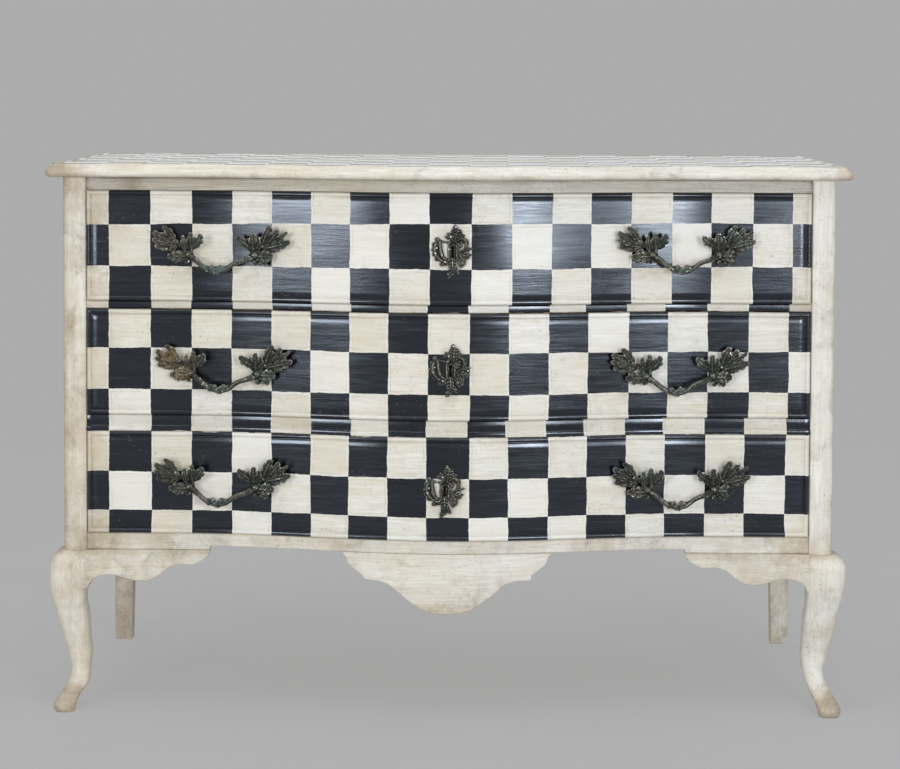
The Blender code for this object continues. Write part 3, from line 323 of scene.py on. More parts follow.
# Cream paint that time has browned: colour, roughness and relief
def creamLayers(place, across, grimeAmount, worn):
    stain = namedValue(place.tree, "stain")
    strokes = useGroup(brushGroup, place, across=across, fineness=3.2)
    amount = stain * 0.75 + grimeAmount
    grime = useGroup(grimeGroup, place, scale=7.5, amount=amount)
    deep = useGroup(grimeGroup, vecCalc("ADD", place, (3.1, 1.7, 0.4)), scale=24.0, amount=amount * 0.85)
    drift = ramp(noiseAt(place, 5.2, 3.0, 0.6, 0.3), 0.36, 0.64)
    drift = calc("ADD", drift, split(place)[0] * 0.65, clamp=True)  # the left end is warmer and darker
    mottle = ramp(noiseAt(place, 62.0, 5.0, 0.68, 0.4), 0.50, 0.72)
    smears = ramp(noiseAt(vecCalc("MULTIPLY", place, across), 1.7, 5.0, 0.65, 0.6), 0.46, 0.70)
    gathered = ramp(noiseAt(place, 19.0, 4.0, 0.65, 0.4), 0.40, 0.66, (0.04, 0.52))
    freckles = ramp(noiseAt(place, 330.0, 4.0, 0.62, 0.5), 0.56, 0.70) * gathered
    soaked = stain * ramp(noiseAt(place, 30.0, 4.0, 0.65), 0.35, 0.65, (0.18, 1.0))
    colour = washes(
        tint(drift, paint["warm"], paint["cool"]), (strokes["Swathe"], 0.52, paint["chalk"]),
        (mottle, 0.50, paint["glaze"]), (1.0 - strokes["Streak"], 0.27, paint["dust"]),
        (smears, 0.46, paint["glaze"]), (freckles, 1.0, paint["freckle"]),
        (grime["Patch"], 0.55, paint["tan"]), (deep["Patch"], 0.55, paint["brown"]),
        (grime["Speck"], 0.75, paint["brown"]), (soaked, 0.78, paint["tan"]),
    )
    if worn:
        wear = useGroup(wearGroup, place, reach=paint["edgeWear"])
        colour = washes(colour, (wear["Mask"], 0.50, paint["tan"]))
    rough = strokes["Streak"] * 0.14 + paint["roughness"]
    height = strokes["Streak"] * 0.5 + strokes["Swathe"] * 0.8 - mottle * 0.3 - freckles * 0.7
    return colour, rough, height


def creamPaint(name, across, grimeAmount):
    material, shader, place = startMaterial(name)
    finishShader(shader, *creamLayers(place, across, grimeAmount, True), 0.5, 0.0007)
    return material


# Hand-painted squares from the surface's own column and row counts
def checkedPaint(name, across, grimeAmount, beadGroove=0.0, relief=0.34, dullFronts=0.0):
    material, shader, place = startMaterial(name)
    tree = place.tree
    counts = split(namedValue(tree, "checkPlace", "Vector"))
    shake = split(noiseAt(place, 21.0, 3.0, 0.5, output="Color"))
    bristle = (noiseAt(place, 190.0, 2.0) - 0.5) * 0.022
    shaken = [counts[way] + (shake[way] - 0.5) * 0.085 + bristle for way in (0, 1)]
    columns, rows = [calc("FLOOR", value) for value in shaken]
    black = calc("FLOORED_MODULO", columns + rows, 2.0)
    cell = addNode(tree, "ShaderNodeCombineXYZ", {0: columns, 1: rows})
    chance = addNode(tree, "ShaderNodeTexWhiteNoise", {"Vector": cell}, "Color", noise_dimensions="3D")
    luck = split(chance, "ShaderNodeSeparateColor")

    # how far each point is inside its square, for the lighter border and the glaze in it
    parts = [calc("FRACT", value) for value in shaken]
    border = calc("MINIMUM", *[calc("MINIMUM", part, 1.0 - part) for part in parts])
    cream, rough, height = creamLayers(place, across, grimeAmount, False)
    trace = ramp(calc("ABSOLUTE", border - 0.066), 0.004, 0.013, (0.34, 0.0))
    cream = washes(
        cream, (ramp(luck[0], 0.25, 1.0, (0.0, 0.52)), ramp(border, 0.035, 0.085), paint["glaze"]),
        (ramp(luck[1], 0.5, 1.0, (0.0, 0.50)), 1.0, paint["chalk"]),
        (trace, ramp(noiseAt(place, 26.0, 3.0), 0.42, 0.60), paint["dust"]),
        # hand grime round the keyhole and the handles' nodes, with painted shadow under each handle's branch
        (namedValue(tree, "handGrimeAndShadow") * ramp(noiseAt(place, 48.0, 4.0, 0.7), 0.40, 0.62), 0.75,
         paint["tan"]),
    )
    strokes = useGroup(brushGroup, place, across=across, fineness=2.4)
    scuff = ramp(noiseAt(vecCalc("MULTIPLY", place, across), 1.1, 5.0, 0.75), 0.55, 0.75)
    chip = useGroup(grimeGroup, vecCalc("ADD", place, (0.7, 0.2, 5.0)), scale=9.0, amount=0.4)
    dark = washes(
        tint(strokes["Swathe"] * 0.65, paint["black"], paint["slate"]),
        (ramp(luck[2], 0.3, 1.0, (0.0, 0.5)), 1.0, paint["slate"]), (scuff, 0.30, paint["scuff"]),
        (chip["Speck"], 0.30, paint["fleck"]),
    )
    darkRough = (strokes["Streak"] + scuff) * 0.125 + paint["blackRoughness"]
    colour = tint(black, cream, dark)
    mixedRough = black * darkRough + (1.0 - black) * rough
    # painted shade: a dark line along the bead's groove and round the front's edge, broken up by noise
    if beadGroove:
        inFromEdge = counts[2]
        line = ramp(calc("ABSOLUTE", inFromEdge - beadGroove), 0.0003, 0.0010, (0.14, 0.0))
        rim = ramp(inFromEdge, 0.0002, 0.0010, (0.14, 0.0))
        broken = ramp(noiseAt(place, 33.0, 3.0), 0.36, 0.60, (0.15, 1.0))
        colour = washes(colour, (calc("MAXIMUM", line, rim), broken, paint["grooveShade"]))
    height = height * ramp(black, 0.0, 1.0, (1.0, 0.34))
    if dullFronts:
        dull = black * ramp(parts[1], 0.12, 0.34, (1.0, 0.0))
        mixedRough = calc("MAXIMUM", mixedRough * dullFronts, dull * 0.95)
        black = black - dull
    finishShader(shader, colour, mixedRough, height, relief, paint["relief"])
    wire(tree, ramp(black, 0.0, 1.0, paint["varnish"]), shader.inputs["Coat Weight"])
    shader.inputs["Coat Roughness"].default_value = paint["varnishRoughness"]
    shader.inputs["Specular IOR Level"].default_value = paint["gloss"]
    shader.inputs["Specular Tint"].default_value = paint["glossTint"]
    return material


# Plain softwood; turn brings the grain along the board
def barePine(name, turn):
    material, shader, place = startMaterial(name)
    place = addNode(place.tree, "ShaderNodeMapping", {"Vector": place, "Rotation": turn})
    grain = useGroup(grainGroup, place, scale=2.2)
    grime = useGroup(grimeGroup, place, scale=5.0, amount=0.5)
    colour = washes(
        tint(grain["Ring"], (0.545, 0.380, 0.215), (0.440, 0.275, 0.138)),
        (grain["Fibre"], 0.25, (0.700, 0.540, 0.350)), (grime["Patch"], 0.5, (0.170, 0.105, 0.060)),
    )
    rough, height = grain["Fibre"] * 0.14 + 0.62, grain["Fibre"] + grain["Ring"] * 0.4
    finishShader(shader, colour, rough, height, 0.30, 0.0005)
    return material


# Dark cast bronze: brown rubbed high places, green and black in the hollows, and painted glints of light on the
# high places
def castBronze(name):
    material, shader, place = startMaterial(name)
    relief, gilt, verdigris = [namedValue(place.tree, label) for label in ("relief", "gilt", "verdigris")]
    high, low = ramp(relief, 0.50, 0.72), ramp(relief, 0.50, 0.33)
    clouds = noiseAt(place, 38.0, 4.0, 0.6, 0.3)
    green = ramp(noiseAt(place, 21.0, 3.0, 0.6, 0.5), 0.50, 0.66)
    rubbed = high * ramp(clouds, 0.30, 0.60, (0.3, 1.0))
    broken = ramp(noiseAt(place, 90.0, 4.0, 0.65), 0.38, 0.60)
    # painted highlights: pale specks on the high places stand in for glints of light
    paintedGlints = ramp(noiseAt(place, 240.0, 2.0, 0.5), 0.64, 0.70)
    pits = noiseAt(place, 520.0, 3.0, 0.6)
    colour = washes(
        tint(ramp(clouds, 0.36, 0.64), (0.026, 0.030, 0.028), (0.043, 0.043, 0.034)),
        (green, 0.55, (0.050, 0.074, 0.064)), (low, 0.80, (0.010, 0.011, 0.009)),
        (rubbed, 0.75, (0.190, 0.182, 0.150)), (gilt, broken, (0.215, 0.150, 0.078)),
        (verdigris, broken, (0.110, 0.172, 0.148)), (paintedGlints, high, (0.620, 0.600, 0.540)),
    )
    shader.inputs["Metallic"].default_value = 0.85
    rough, height = pits * 0.16 + 0.42 - rubbed * 0.18, pits * 0.6 + noiseAt(place, 150.0, 3.0)
    finishShader(shader, colour, rough, height, 0.55, 0.0005)
    return material


def dullIron(name, colourLow, colourHigh, roughness):
    material, shader, place = startMaterial(name)
    scratches = noiseAt(vecCalc("MULTIPLY", place, (40.0, 40.0, 700.0)), 1.0, 3.0)
    rust = useGroup(grimeGroup, place, scale=30.0, amount=0.55)
    colour = washes(
        tint(ramp(noiseAt(place, 60.0, 4.0, 0.6), 0.35, 0.65), colourLow, colourHigh),
        (rust["Patch"], 0.6, (0.150, 0.070, 0.030)),
    )
    shader.inputs["Metallic"].default_value = 0.9
    finishShader(shader, colour, scratches * 0.2 + roughness, scratches, 0.25, 0.0004)
    return material


alongX, alongY, alongZ = (7.0, 26.0, 110.0), (80.0, 7.0, 80.0), (110.0, 80.0, 6.0)
finishes = {
    "creamRail": creamPaint("creamPaintAcross", alongX, 0.66),
    "creamPost": creamPaint("creamPaintUpright", alongZ, 0.68),
    "creamSide": creamPaint("creamPaintSides", alongY, 0.62),
    "creamRear": creamPaint("creamPaintDirty", (150.0, 110.0, 9.0), 0.92),
    "creamFresh": creamPaint("creamPaintFresh", alongX, 0.40),
    "checks": checkedPaint("checkedPaint", alongX, 0.42, beadGroove=0.0074),
    "railChecks": checkedPaint("checkedRailPaint", alongX, 0.50),
    "topChecks": checkedPaint("checkedTopPaint", alongX, 0.48, relief=0.02, dullFronts=0.85),
    "pineX": barePine("barePineAcross", (0.0, 0.0, 0.0)),
    "pineY": barePine("barePineInward", (0.0, 0.0, math.radians(90))),
    "bronze": castBronze("castBronze"),
    "iron": dullIron("lockIron", (0.070, 0.066, 0.062), (0.150, 0.142, 0.132), 0.42),
    "brightPin": dullIron("brightPin", (0.420, 0.400, 0.350), (0.680, 0.660, 0.600), 0.22),
    "steel": dullIron("brightSteel", (0.230, 0.220, 0.205), (0.400, 0.390, 0.370), 0.30),
}
print("finishes ready:", len(finishes))

# ---- mesh helpers

def shade(mesh, degrees):
    mesh.shade_smooth()
    mesh.set_sharp_from_angle(angle=math.radians(degrees))


def newPiece(name, mesh):
    piece = bpy.data.objects.new(name, mesh)
    stageScene.collection.objects.link(piece)
    return piece


def meshFrom(name, points, faces, materials, smoothDegrees=35.0):
    mesh = bpy.data.meshes.new(name)
    mesh.from_pydata([tuple(point) for point in points], [], faces)
    shell = bmesh.new()
    shell.from_mesh(mesh)
    bmesh.ops.recalc_face_normals(shell, faces=shell.faces)
    return fromShell(name, shell, materials, smoothDegrees, mesh)


def fromShell(name, shell, materials, smoothDegrees=35.0, mesh=None):
    mesh = mesh or bpy.data.meshes.new(name)
    shell.to_mesh(mesh)
    shell.free()
    for material in materials:
        mesh.materials.append(material)
    shade(mesh, smoothDegrees)
    return newPiece(name, mesh)


def skin(rings):
    # Faces over rings of equal length, each ring closed on itself, and both ends filled
    count = len(rings[0])
    points = [point for ring in rings for point in ring]
    faces = []
    for row in range(len(rings) - 1):
        for side in range(count):
            turn = (side + 1) % count
            low, high = row * count, (row + 1) * count
            faces.append((low + side, low + turn, high + turn, high + side))
    faces.append(tuple(range(count)))
    faces.append(tuple(range(len(points) - count, len(points))))
    return points, faces


def settle(piece):
    # Turns the piece's modifiers into plain mesh
    bpy.context.view_layer.update()
    graph = bpy.context.evaluated_depsgraph_get()
    mesh = bpy.data.meshes.new_from_object(piece.evaluated_get(graph))
    old = piece.data
    piece.modifiers.clear()
    piece.data = mesh
    mesh.name = piece.name
    bpy.data.meshes.remove(old)
    return piece


def softened(piece, width, degrees=35.0):
    # Rounds the outward corners only, so that grooves and mortises keep their room
    shell = bmesh.new()
    shell.from_mesh(piece.data)
    weights = shell.edges.layers.float.new("bevel_weight_edge")
    for edge in shell.edges:
        turned = edge.is_manifold and edge.is_convex and edge.calc_face_angle() > math.radians(degrees)
        edge[weights] = 1.0 if turned else 0.0
    shell.to_mesh(piece.data)
    shell.free()
    bevel = piece.modifiers.new("softEdges", "BEVEL")
    bevel.width, bevel.segments, bevel.limit_method = width, 2, "WEIGHT"
    settle(piece)
    piece.data.attributes.remove(piece.data.attributes["bevel_weight_edge"])
    return piece


def mount(piece, body, nodes=()):
    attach(piece, body)
    if nodes:
        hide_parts(*nodes)
    return piece


def nodeShell(node):
    # A merged copy of a CAD node's mesh, with its flat faces whole again
    shell = bmesh.new()
    shell.from_mesh(frame["nodes"][node].data)
    for face in shell.faces:
        face.material_index = 0
    bmesh.ops.remove_doubles(shell, verts=shell.verts, dist=0.00001)
    bmesh.ops.dissolve_limit(shell, angle_limit=math.radians(0.15), verts=shell.verts, edges=shell.edges)
    return shell


def sliceShell(shell, axis, places, levelOnly=False):
    normal = Vector((0, 0, 0))
    normal[axis] = 1.0
    for place in places:
        cut = shell.verts[:] + shell.edges[:] + shell.faces[:]
        if levelOnly:
            flat = [face for face in shell.faces if face.normal.z > 0.999]
            cut = flat + list({edge for face in flat for edge in face.edges})
            cut += list({vertex for face in flat for vertex in face.verts})
        bmesh.ops.bisect_plane(shell, geom=cut, dist=0.000001, plane_co=normal * place, plane_no=normal)


def pieceName(node):
    head, *rest = node.split("_")
    return head + "".join(word.capitalize() for word in rest)


def dressNode(node, finish, width):
    # The CAD node's own shape with its edges softened
    piece = softened(fromShell(pieceName(node), nodeShell(node), [finishes[finish]]), width)
    shade(piece.data, 35.0)
    return mount(piece, bodyOf[node], [node])


# ---- where the painter's lines cross the front, in metres

checks = {
    "rows": (  # height of each line at the left end, in the middle and at the right end
        (0.8350, 0.8350, 0.8350), (0.7780, 0.7845, 0.7840), (0.7120, 0.7130, 0.7150),
        (0.6435, 0.6435, 0.6435), (0.5820, 0.5805, 0.5800), (0.5150, 0.5150, 0.5150),
        (0.4475, 0.4475, 0.4475), (0.3830, 0.3825, 0.3820), (0.3200, 0.3200, 0.3200),
        (0.2780, 0.2780, 0.2780),
    ),
    "upper_drawer": (-540, -474, -407.5, -343, -279, -216, -154, -92, -28.5, 37.5, 101, 164,
                     226, 290, 355, 417, 483, 546),
    "upper_drawer_rail": (-542, -474, -410, -342, -279, -215, -152, -93, -32, 33, 96, 162,
                          218, 284, 345, 413, 478, 543),
    "middle_drawer": (-541, -474, -408, -344, -280, -217, -155, -93, -30.5, 35, 97, 160,
                      222, 287, 349, 413, 478, 541),
    "lower_drawer_rail": (-542, -474, -410, -344, -281, -216, -153, -93, -33, 32, 92, 157,
                          216, 282, 342, 409, 473, 539),
    "lower_drawer": (-541, -473, -408, -344, -280, -217, -156, -94, -32.5, 35, 96, 159.5,
                     221, 283.5, 345, 410, 473, 538),
    "top": (-617, -551, -488, -422, -356, -290, -225, -160, -94, -31, 33, 98, 161, 224,
            290, 353, 417, 482, 547, 612),
    "topRow": 0.0655, "halfWidth": 0.58,
}


def countAlong(lines, place):
    # How many lines lie below this place, with the share of the step that it is in
    if place <= lines[0]:
        return (place - lines[0]) / (lines[1] - lines[0])
    for index, (low, high) in enumerate(zip(lines, lines[1:])):
        if place <= high:
            return index + (place - low) / (high - low)
    return len(lines) - 1 + (place - lines[-1]) / (lines[-1] - lines[-2])


def checkCount(band, x, z):
    column = countAlong([line / 1000 for line in checks[band]], x) + 1
    across = max(-1.0, min(1.0, x / checks["halfWidth"]))
    heights = []
    for left, middle, right in checks["rows"]:
        end = right if across > 0 else left
        heights.append(middle + (end - middle) * abs(across))
    row = countAlong([-height for height in heights], -z)
    return column, row


def addCounts(mesh, values):
    layer = mesh.attributes.new("checkPlace", "FLOAT_VECTOR", "POINT")
    layer.data.foreach_set("vector", np.array(values, np.float32).ravel())


def addValue(mesh, name, rule):
    layer = mesh.attributes.new(name, "FLOAT", "POINT")
    for point, slot in zip(mesh.vertices, layer.data):
        slot.value = max(0.0, min(1.0, rule(point.co)))


def bell(place, middle, width):
    return math.exp(-((place - middle) / width) ** 2)


# ---- drawer fronts

fittings = {
    "node": 0.054,
    "eyes": {"lower": (-0.0035, 0.3690), "middle": (0.0050, 0.5598), "upper": (0.0075, 0.7471)},
    "handles": {  # middle of each one's foot line, the left one first
        "lower": ((-0.3577, 0.3570), (0.3716, 0.3570)),
        "middle": ((-0.3550, 0.5385), (0.3680, 0.5385)),
        "upper": ((-0.3590, 0.7275), (0.3758, 0.7310)),
    },
}
front = {
    "bead": ((0.0, -0.0012), (0.0006, 0.0004), (0.0018, 0.0015), (0.0034, 0.0020),
             (0.0050, 0.0018), (0.0063, 0.0006), (0.0074, -0.0009), (0.0083, -0.0005),
             (0.0092, 0.0)),
    "cadBead": ((0.0, -0.0012), (0.00176, 0.0015), (0.00496, 0.0020), (0.00736, -0.0007),
                (0.0092, 0.0)),
    "fineLines": (0.0003, 0.0006, 0.0011, 0.0018, 0.0026, 0.0034, 0.0042, 0.0050, 0.0057,
                  0.0063, 0.0069, 0.0074, 0.0079, 0.0083, 0.0092),
    "across": 0.0085, "upward": 0.0085, "unevenness": 0.00044, "reach": 0.00055, "beadWidth": 0.0092,
    "paintedDepth": 0.0045, "ends": {"upper": 0.75, "middle": 0.60, "lower": 0.75},
}


def linear(table, place):
    if place >= table[-1][0]:
        return table[-1][1]
    for (low, first), (high, second) in zip(table, table[1:]):
        if place <= high:
            return first + (second - first) * max(0.0, place - low) / (high - low)
    return table[-1][1]


def straighten(shell, way=-1, depth=chest["swell"]):
    for vertex in shell.verts:
        curve = chordAt(vertex.co.x, depth) if way < 0 else swellAt(vertex.co.x, depth)
        vertex.co.y += way * curve


def drawerFront(level):
    node = f"{level}_drawer_front"
    low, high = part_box(node)
    half, bottom, top = high.x, low.z, high.z
    shell = nodeShell(node)
    straighten(shell)
    field = frontPlane - chest["fieldProud"]
    fine = front["fineLines"]
    sliceShell(shell, 0, [-half + step for step in fine] + [half - step for step in fine])
    sliceShell(shell, 2, [bottom + step for step in fine] + [top - step for step in fine])
    inner = half - fine[-1]
    sliceShell(shell, 0, evenly(-inner, inner, int(2 * inner / front["across"]))[1:-1])
    rows = evenly(bottom + fine[-1], top - fine[-1], int((top - bottom) / front["upward"]))
    sliceShell(shell, 2, rows[1:-1])
    sliceShell(shell, 1, [field + front["paintedDepth"]])
    values = []
    for vertex in shell.verts:
        x, y, z = vertex.co
        inset = max(0.0, min(half - abs(x), z - bottom, top - z))
        if abs(y - (field - linear(front["cadBead"], inset))) < 0.0002:
            y = field - eased(front["bead"], inset)
            wave = noise.noise(Vector((x * 9, z * 13, levels.index(level) * 7.0)))
            fade = min(1.0, max(0.0, inset - front["beadWidth"]) / 0.02)
            y += wave * front["unevenness"] * fade
            if half - abs(x) < 0.00005:
                vertex.co.x += math.copysign(front["reach"], x)
            if min(z - bottom, top - z) < 0.00005:
                vertex.co.z += math.copysign(front["reach"], z - (bottom + top) / 2)
        vertex.co.y = y + swellAt(x)
        column, row = checkCount(f"{level}_drawer", x, z)
        values.append((column, row, inset))
    for face in shell.faces:
        middle = face.calc_center_median()
        behind = middle.y - swellAt(middle.x) > field + front["paintedDepth"]
        face.material_index = 1 if behind else 0
    piece = fromShell(f"{level}DrawerFront", shell, [finishes["checks"], finishes["pineX"]], 38.0)
    addCounts(piece.data, values)
    eyeX, eyeZ = fittings["eyes"][level]

    # tan round the keyhole and the handles' nodes is hand grime; the patch under each handle's branch is painted
    # shadow of the handle
    def grime(point):
        total = 0.8 * bell(point.x, eyeX, 0.030) * bell(point.z, eyeZ - 0.006, 0.045)
        for x, z in fittings["handles"][level]:
            total += 0.55 * bell(point.x, x, 0.075) * bell(point.z, z - 0.022, 0.022)
            total += 0.5 * bell(abs(point.x - x), fittings["node"], 0.020) * bell(point.z, z, 0.022)
        return total

    addValue(piece.data, "handGrimeAndShadow", grime)
    addValue(piece.data, "stain", lambda point: front["ends"][level] * bell(abs(point.x), half, 0.048) * (
        1.0 if point.x < 0 else 0.7))
    return mount(piece, f"{level}_drawer", [node])


for level in levels:
    drawerFront(level)
print("drawer fronts done")

# ---- rails

rail = {"across": 0.0085, "softEdge": 0.0006, "boltRoom": 0.0004, "mortiseReach": 0.0015,
        "boltBelow": {"top_front_rail": "upper", "upper_drawer_rail": "middle",
                      "lower_drawer_rail": "lower"},
        # amount towards the ends, then one spot's amount, place and width
        "stains": {"top_front_rail": (0.12, 0.6, -0.50, 0.035), "bottom_front_rail": (0.50, 0.3, -0.47, 0.04),
                   "upper_drawer_rail": (0.4, 0.3, -0.47, 0.04),
                   "lower_drawer_rail": (0.4, 0.3, -0.47, 0.04)}}


def frontRail(node, finish, band):
    low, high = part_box(node)
    shell = nodeShell(node)
    straighten(shell)
    sliceShell(shell, 0, evenly(low.x, high.x, int((high.x - low.x) / rail["across"]))[1:-1])
    straighten(shell, 1)
    if node in rail["boltBelow"]:  # the mortise's walls stay flat, so the bolt has its room
        boltLow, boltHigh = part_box(f"{rail['boltBelow'][node]}_lock_bolt")
        room, reach = rail["boltRoom"], rail["mortiseReach"]
        for vertex in shell.verts:
            if (boltLow.x - reach < vertex.co.x < boltHigh.x + reach
                    and boltLow.y - reach < vertex.co.y < boltHigh.y + reach):
                ahead = vertex.co.y < (boltLow.y + boltHigh.y) / 2
                vertex.co.y = boltLow.y - room if ahead else boltHigh.y + room
    piece = fromShell(pieceName(node), shell, [finishes[finish]], 30.0)
    softened(piece, rail["softEdge"], 40.0)
    shade(piece.data, 40.0)
    if band:
        addCounts(piece.data, [(*checkCount(band, *point.co.xz), 1.0) for point in piece.data.vertices])
    amount, spot, spotX, spotWidth = rail["stains"][node]
    addValue(piece.data, "stain", lambda point: amount * (0.45 + bell(abs(point.x), high.x, 0.05))
             + spot * bell(point.x, spotX, spotWidth))
    return mount(piece, "case", [node])


frontRail("top_front_rail", "creamFresh", None)
frontRail("bottom_front_rail", "creamRail", None)
frontRail("upper_drawer_rail", "railChecks", "upper_drawer_rail")
frontRail("lower_drawer_rail", "railChecks", "lower_drawer_rail")
print("rails done")

# ---- top board

topValues = {
    "edge": ((0.00, 0.0068), (0.07, 0.0025), (0.20, 0.0004), (0.36, 0.0), (0.46, 0.0008),
             (0.58, 0.0030), (0.70, 0.0059), (0.80, 0.0086), (0.88, 0.0106), (0.95, 0.0126),
             (1.00, 0.0142)),
    "rings": 26, "frontOverhang": 0.026, "corner": 0.012, "across": 0.010, "inward": 0.0135,
    "lip": 0.0155,
}


def topBoard():
    low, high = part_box("top")
    half, back, corner = high.x, high.y, topValues["corner"]
    foreY, reach = frontPlane - topValues["frontOverhang"], half - topValues["corner"]
    arc = [(sine * corner, (1 - cosine) * corner) for sine, cosine in quarterArc(7)][1:]

    def ring(inset, height):
        ends = [
            (reach + across - inset * across / corner, foreY + inward + inset * (1 - inward / corner), height)
            for across, inward in arc
        ]
        middle = [(x, foreY + swellAt(x, chest["topSwell"]) + inset, height)
                  for x in evenly(-reach, reach, int(2 * reach / topValues["across"]))]
        rear = [(half - inset, back, height), (-half + inset, back, height)]
        return middle + ends + rear + [(-x, y, z) for x, y, z in reversed(ends)]

    rings = [
        ring(eased(topValues["edge"], share), low.z + share * (high.z - low.z))
        for share in evenly(0.0, 1.0, topValues["rings"])
    ]
    points, faces = skin(rings)
    shell = bmesh.new()
    for point in points:
        shell.verts.new(point)
    shell.verts.ensure_lookup_table()
    for face in faces:
        shell.faces.new([shell.verts[index] for index in face])
    bmesh.ops.recalc_face_normals(shell, faces=shell.faces)
    straighten(shell, -1, chest["topSwell"])
    for vertex in shell.verts:  # the true curve was used, so the chords' error is put back
        vertex.co.y += chordAt(vertex.co.x, chest["topSwell"]) - swellAt(vertex.co.x, chest["topSwell"])
    lip = topValues["lip"]
    border = foreY + lip
    sliceShell(shell, 0, evenly(-half + lip, half - lip, int(2 * half / topValues["across"])), True)
    rows = int((back - border) / topValues["inward"])
    sliceShell(shell, 1, evenly(border, back - 0.001, rows), True)
    values = []
    for vertex in shell.verts:
        column = countAlong([line / 1000 for line in checks["top"]], vertex.co.x)
        values.append((column, (vertex.co.y - border) / checks["topRow"] + 1, 1.0))
    for face in shell.faces:
        middle = face.calc_center_median()
        inside = abs(middle.x) < half - lip and middle.y > border
        face.material_index = 0 if inside and face.normal.z > 0.98 else 1
    straighten(shell, 1, chest["topSwell"])
    piece = fromShell("topBoard", shell, [finishes["topChecks"], finishes["creamRail"]], 50.0)
    addCounts(piece.data, values)
    addValue(piece.data, "stain", lambda point: (
        (1.3 if point.x < 0 else 0.6) * bell(abs(point.x), half, 0.048)
        + 0.35 * bell(point.z, low.z, 0.008)))
    return mount(piece, "case", ["top"])


topBoard()
print("top board done")

# ---- front posts

post = {"proud": 0.006, "round": 0.008, "turns": 30, "rise": 0.012, "unevenness": 0.0004, "lip": 0.0021,
        "fullness": 0.70, "cover": 0.0008, "halfGroove": 0.0041, "grooveRoom": 0.0003,
        "wornPlace": (0.603, 0.611)}


def frontPost(side):
    name = "right" if side > 0 else "left"
    low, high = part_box(f"{name}_front_post")
    inner, outer = sorted((abs(low.x), abs(high.x)))
    panelLow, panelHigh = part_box(f"{name}_side_panel")
    fillet = frontPlane + post["round"] - post["proud"]
    back = high.y
    cover = inner - post["cover"]
    middle = (cover + outer) / 2
    half = (outer - cover) / 2
    face = [(cover, fillet + 0.001), (cover, fillet - post["lip"] * 0.6)]
    for turn in evenly(0.0, math.pi, post["turns"]):
        full = math.sin(turn) ** post["fullness"]
        lip = post["lip"] if turn < math.pi / 2 else 0.0
        place = middle - half * math.cos(turn) + (0.0004 if turn == 0 else 0.0)
        face.append((place, fillet - lip - (post["round"] - lip) * full))
    grooveMiddle, grooveEnd = (abs(panelLow.x) + abs(panelHigh.x)) / 2, panelLow.y - post["grooveRoom"]
    outside, inside = grooveMiddle + post["halfGroove"], grooveMiddle - post["halfGroove"]
    outline = face + [(outer, back), (outside, back), (outside, grooveEnd), (inside, grooveEnd),
                      (inside, back), (inner, back), (inner, fillet + 0.001)]
    rings = []
    for z in evenly(low.z, high.z, int((high.z - low.z) / post["rise"])):
        ring = []
        for index, (x, y) in enumerate(outline):
            wave = 0.0
            if 3 < index < len(face) - 1:
                wave = noise.noise(Vector((x * 20, y * 20, z * 9 + side * 5)))
            ring.append((side * x, y + wave * post["unevenness"], z))
        rings.append(ring)
    piece = meshFrom(f"{name}FrontPost", *skin(rings), [finishes["creamPost"]], 40.0)
    worn, even, spot = (1.0, 0.20, 0.9) if side < 0 else (0.6, 0.05, 0.0)
    spotX, spotZ = post["wornPlace"]
    addValue(piece.data, "stain", lambda point: worn * (
        0.40 * bell(abs(point.x), outer, 0.006) + 0.5 * bell(point.z, low.z, 0.02)
        + 0.25 * bell(point.z, high.z, 0.03) + even
        + spot * bell(point.z, spotZ, 0.022) * bell(abs(point.x), spotX, 0.008)))
    return mount(piece, "case", [f"{name}_front_post"])


for side in (-1, 1):
    frontPost(side)
print("posts done")

# ---- front legs

leg = {
    "shares": (  # height, outer side, front, inner side
        (0.000, 0.62, 2.10, -0.444), (0.015, 0.81, 2.25, -0.417), (0.040, 0.88, 2.30, -0.375),
        (0.070, 0.69, 1.95, -0.306), (0.108, 0.25, 1.00, -0.167), (0.155, -0.22, 0.25, 0.000),
        (0.200, -0.56, -0.30, 0.083), (0.270, -0.78, -0.70, 0.180), (0.347, -0.72, -0.70, 0.236),
        (0.425, -0.47, -0.47, 0.250), (0.502, -0.22, -0.22, 0.236), (0.598, 0.13, 0.13, 0.167),
        (0.680, 0.48, 0.48, 0.083), (0.760, 0.79, 0.79, 0.083), (0.849, 1.00, 1.00, 0.083),
        (0.915, 1.00, 1.00, 0.083), (0.965, 0.75, 0.75, 0.083), (1.000, 0.31, 0.31, 0.083),
    ),
    # millimetres outward for each leg, by height share: outer side, inner side
    "left": (
        (0.00, 0, 0), (0.09, -1, 1), (0.16, 0.5, -2), (0.20, 2, 0), (0.24, 3.5, 1.5), (0.275, 6, 3),
        (0.314, 8, 3.2), (0.39, 10.5, 4.8), (0.45, 12.5, 6), (0.54, 13, 6), (0.60, 12.5, 5.5),
        (0.69, 11, 5), (0.765, 9, 3), (0.84, 6.5, 0), (0.95, 5, 0), (1.00, 4, 0),
    ),
    "right": (
        (0.00, 0, 0), (0.09, 0, 0), (0.16, 2, 1), (0.20, 2, 0), (0.24, 3.5, 0), (0.275, 5, -1),
        (0.314, 8, -1), (0.39, 11, 0), (0.45, 12.5, 1), (0.54, 12, 1), (0.60, 9, 0),
        (0.69, 7, 0), (0.765, 6.5, 0), (0.84, 6.5, 0), (0.95, 7.5, 0), (1.00, 5, 0),
    ),
    "knee": 0.016, "width": 0.036, "proud": 0.006, "squareness": 0.55, "sides": 44, "rings": 90,
    "unevenness": 0.0009, "depthShare": 0.92,
}


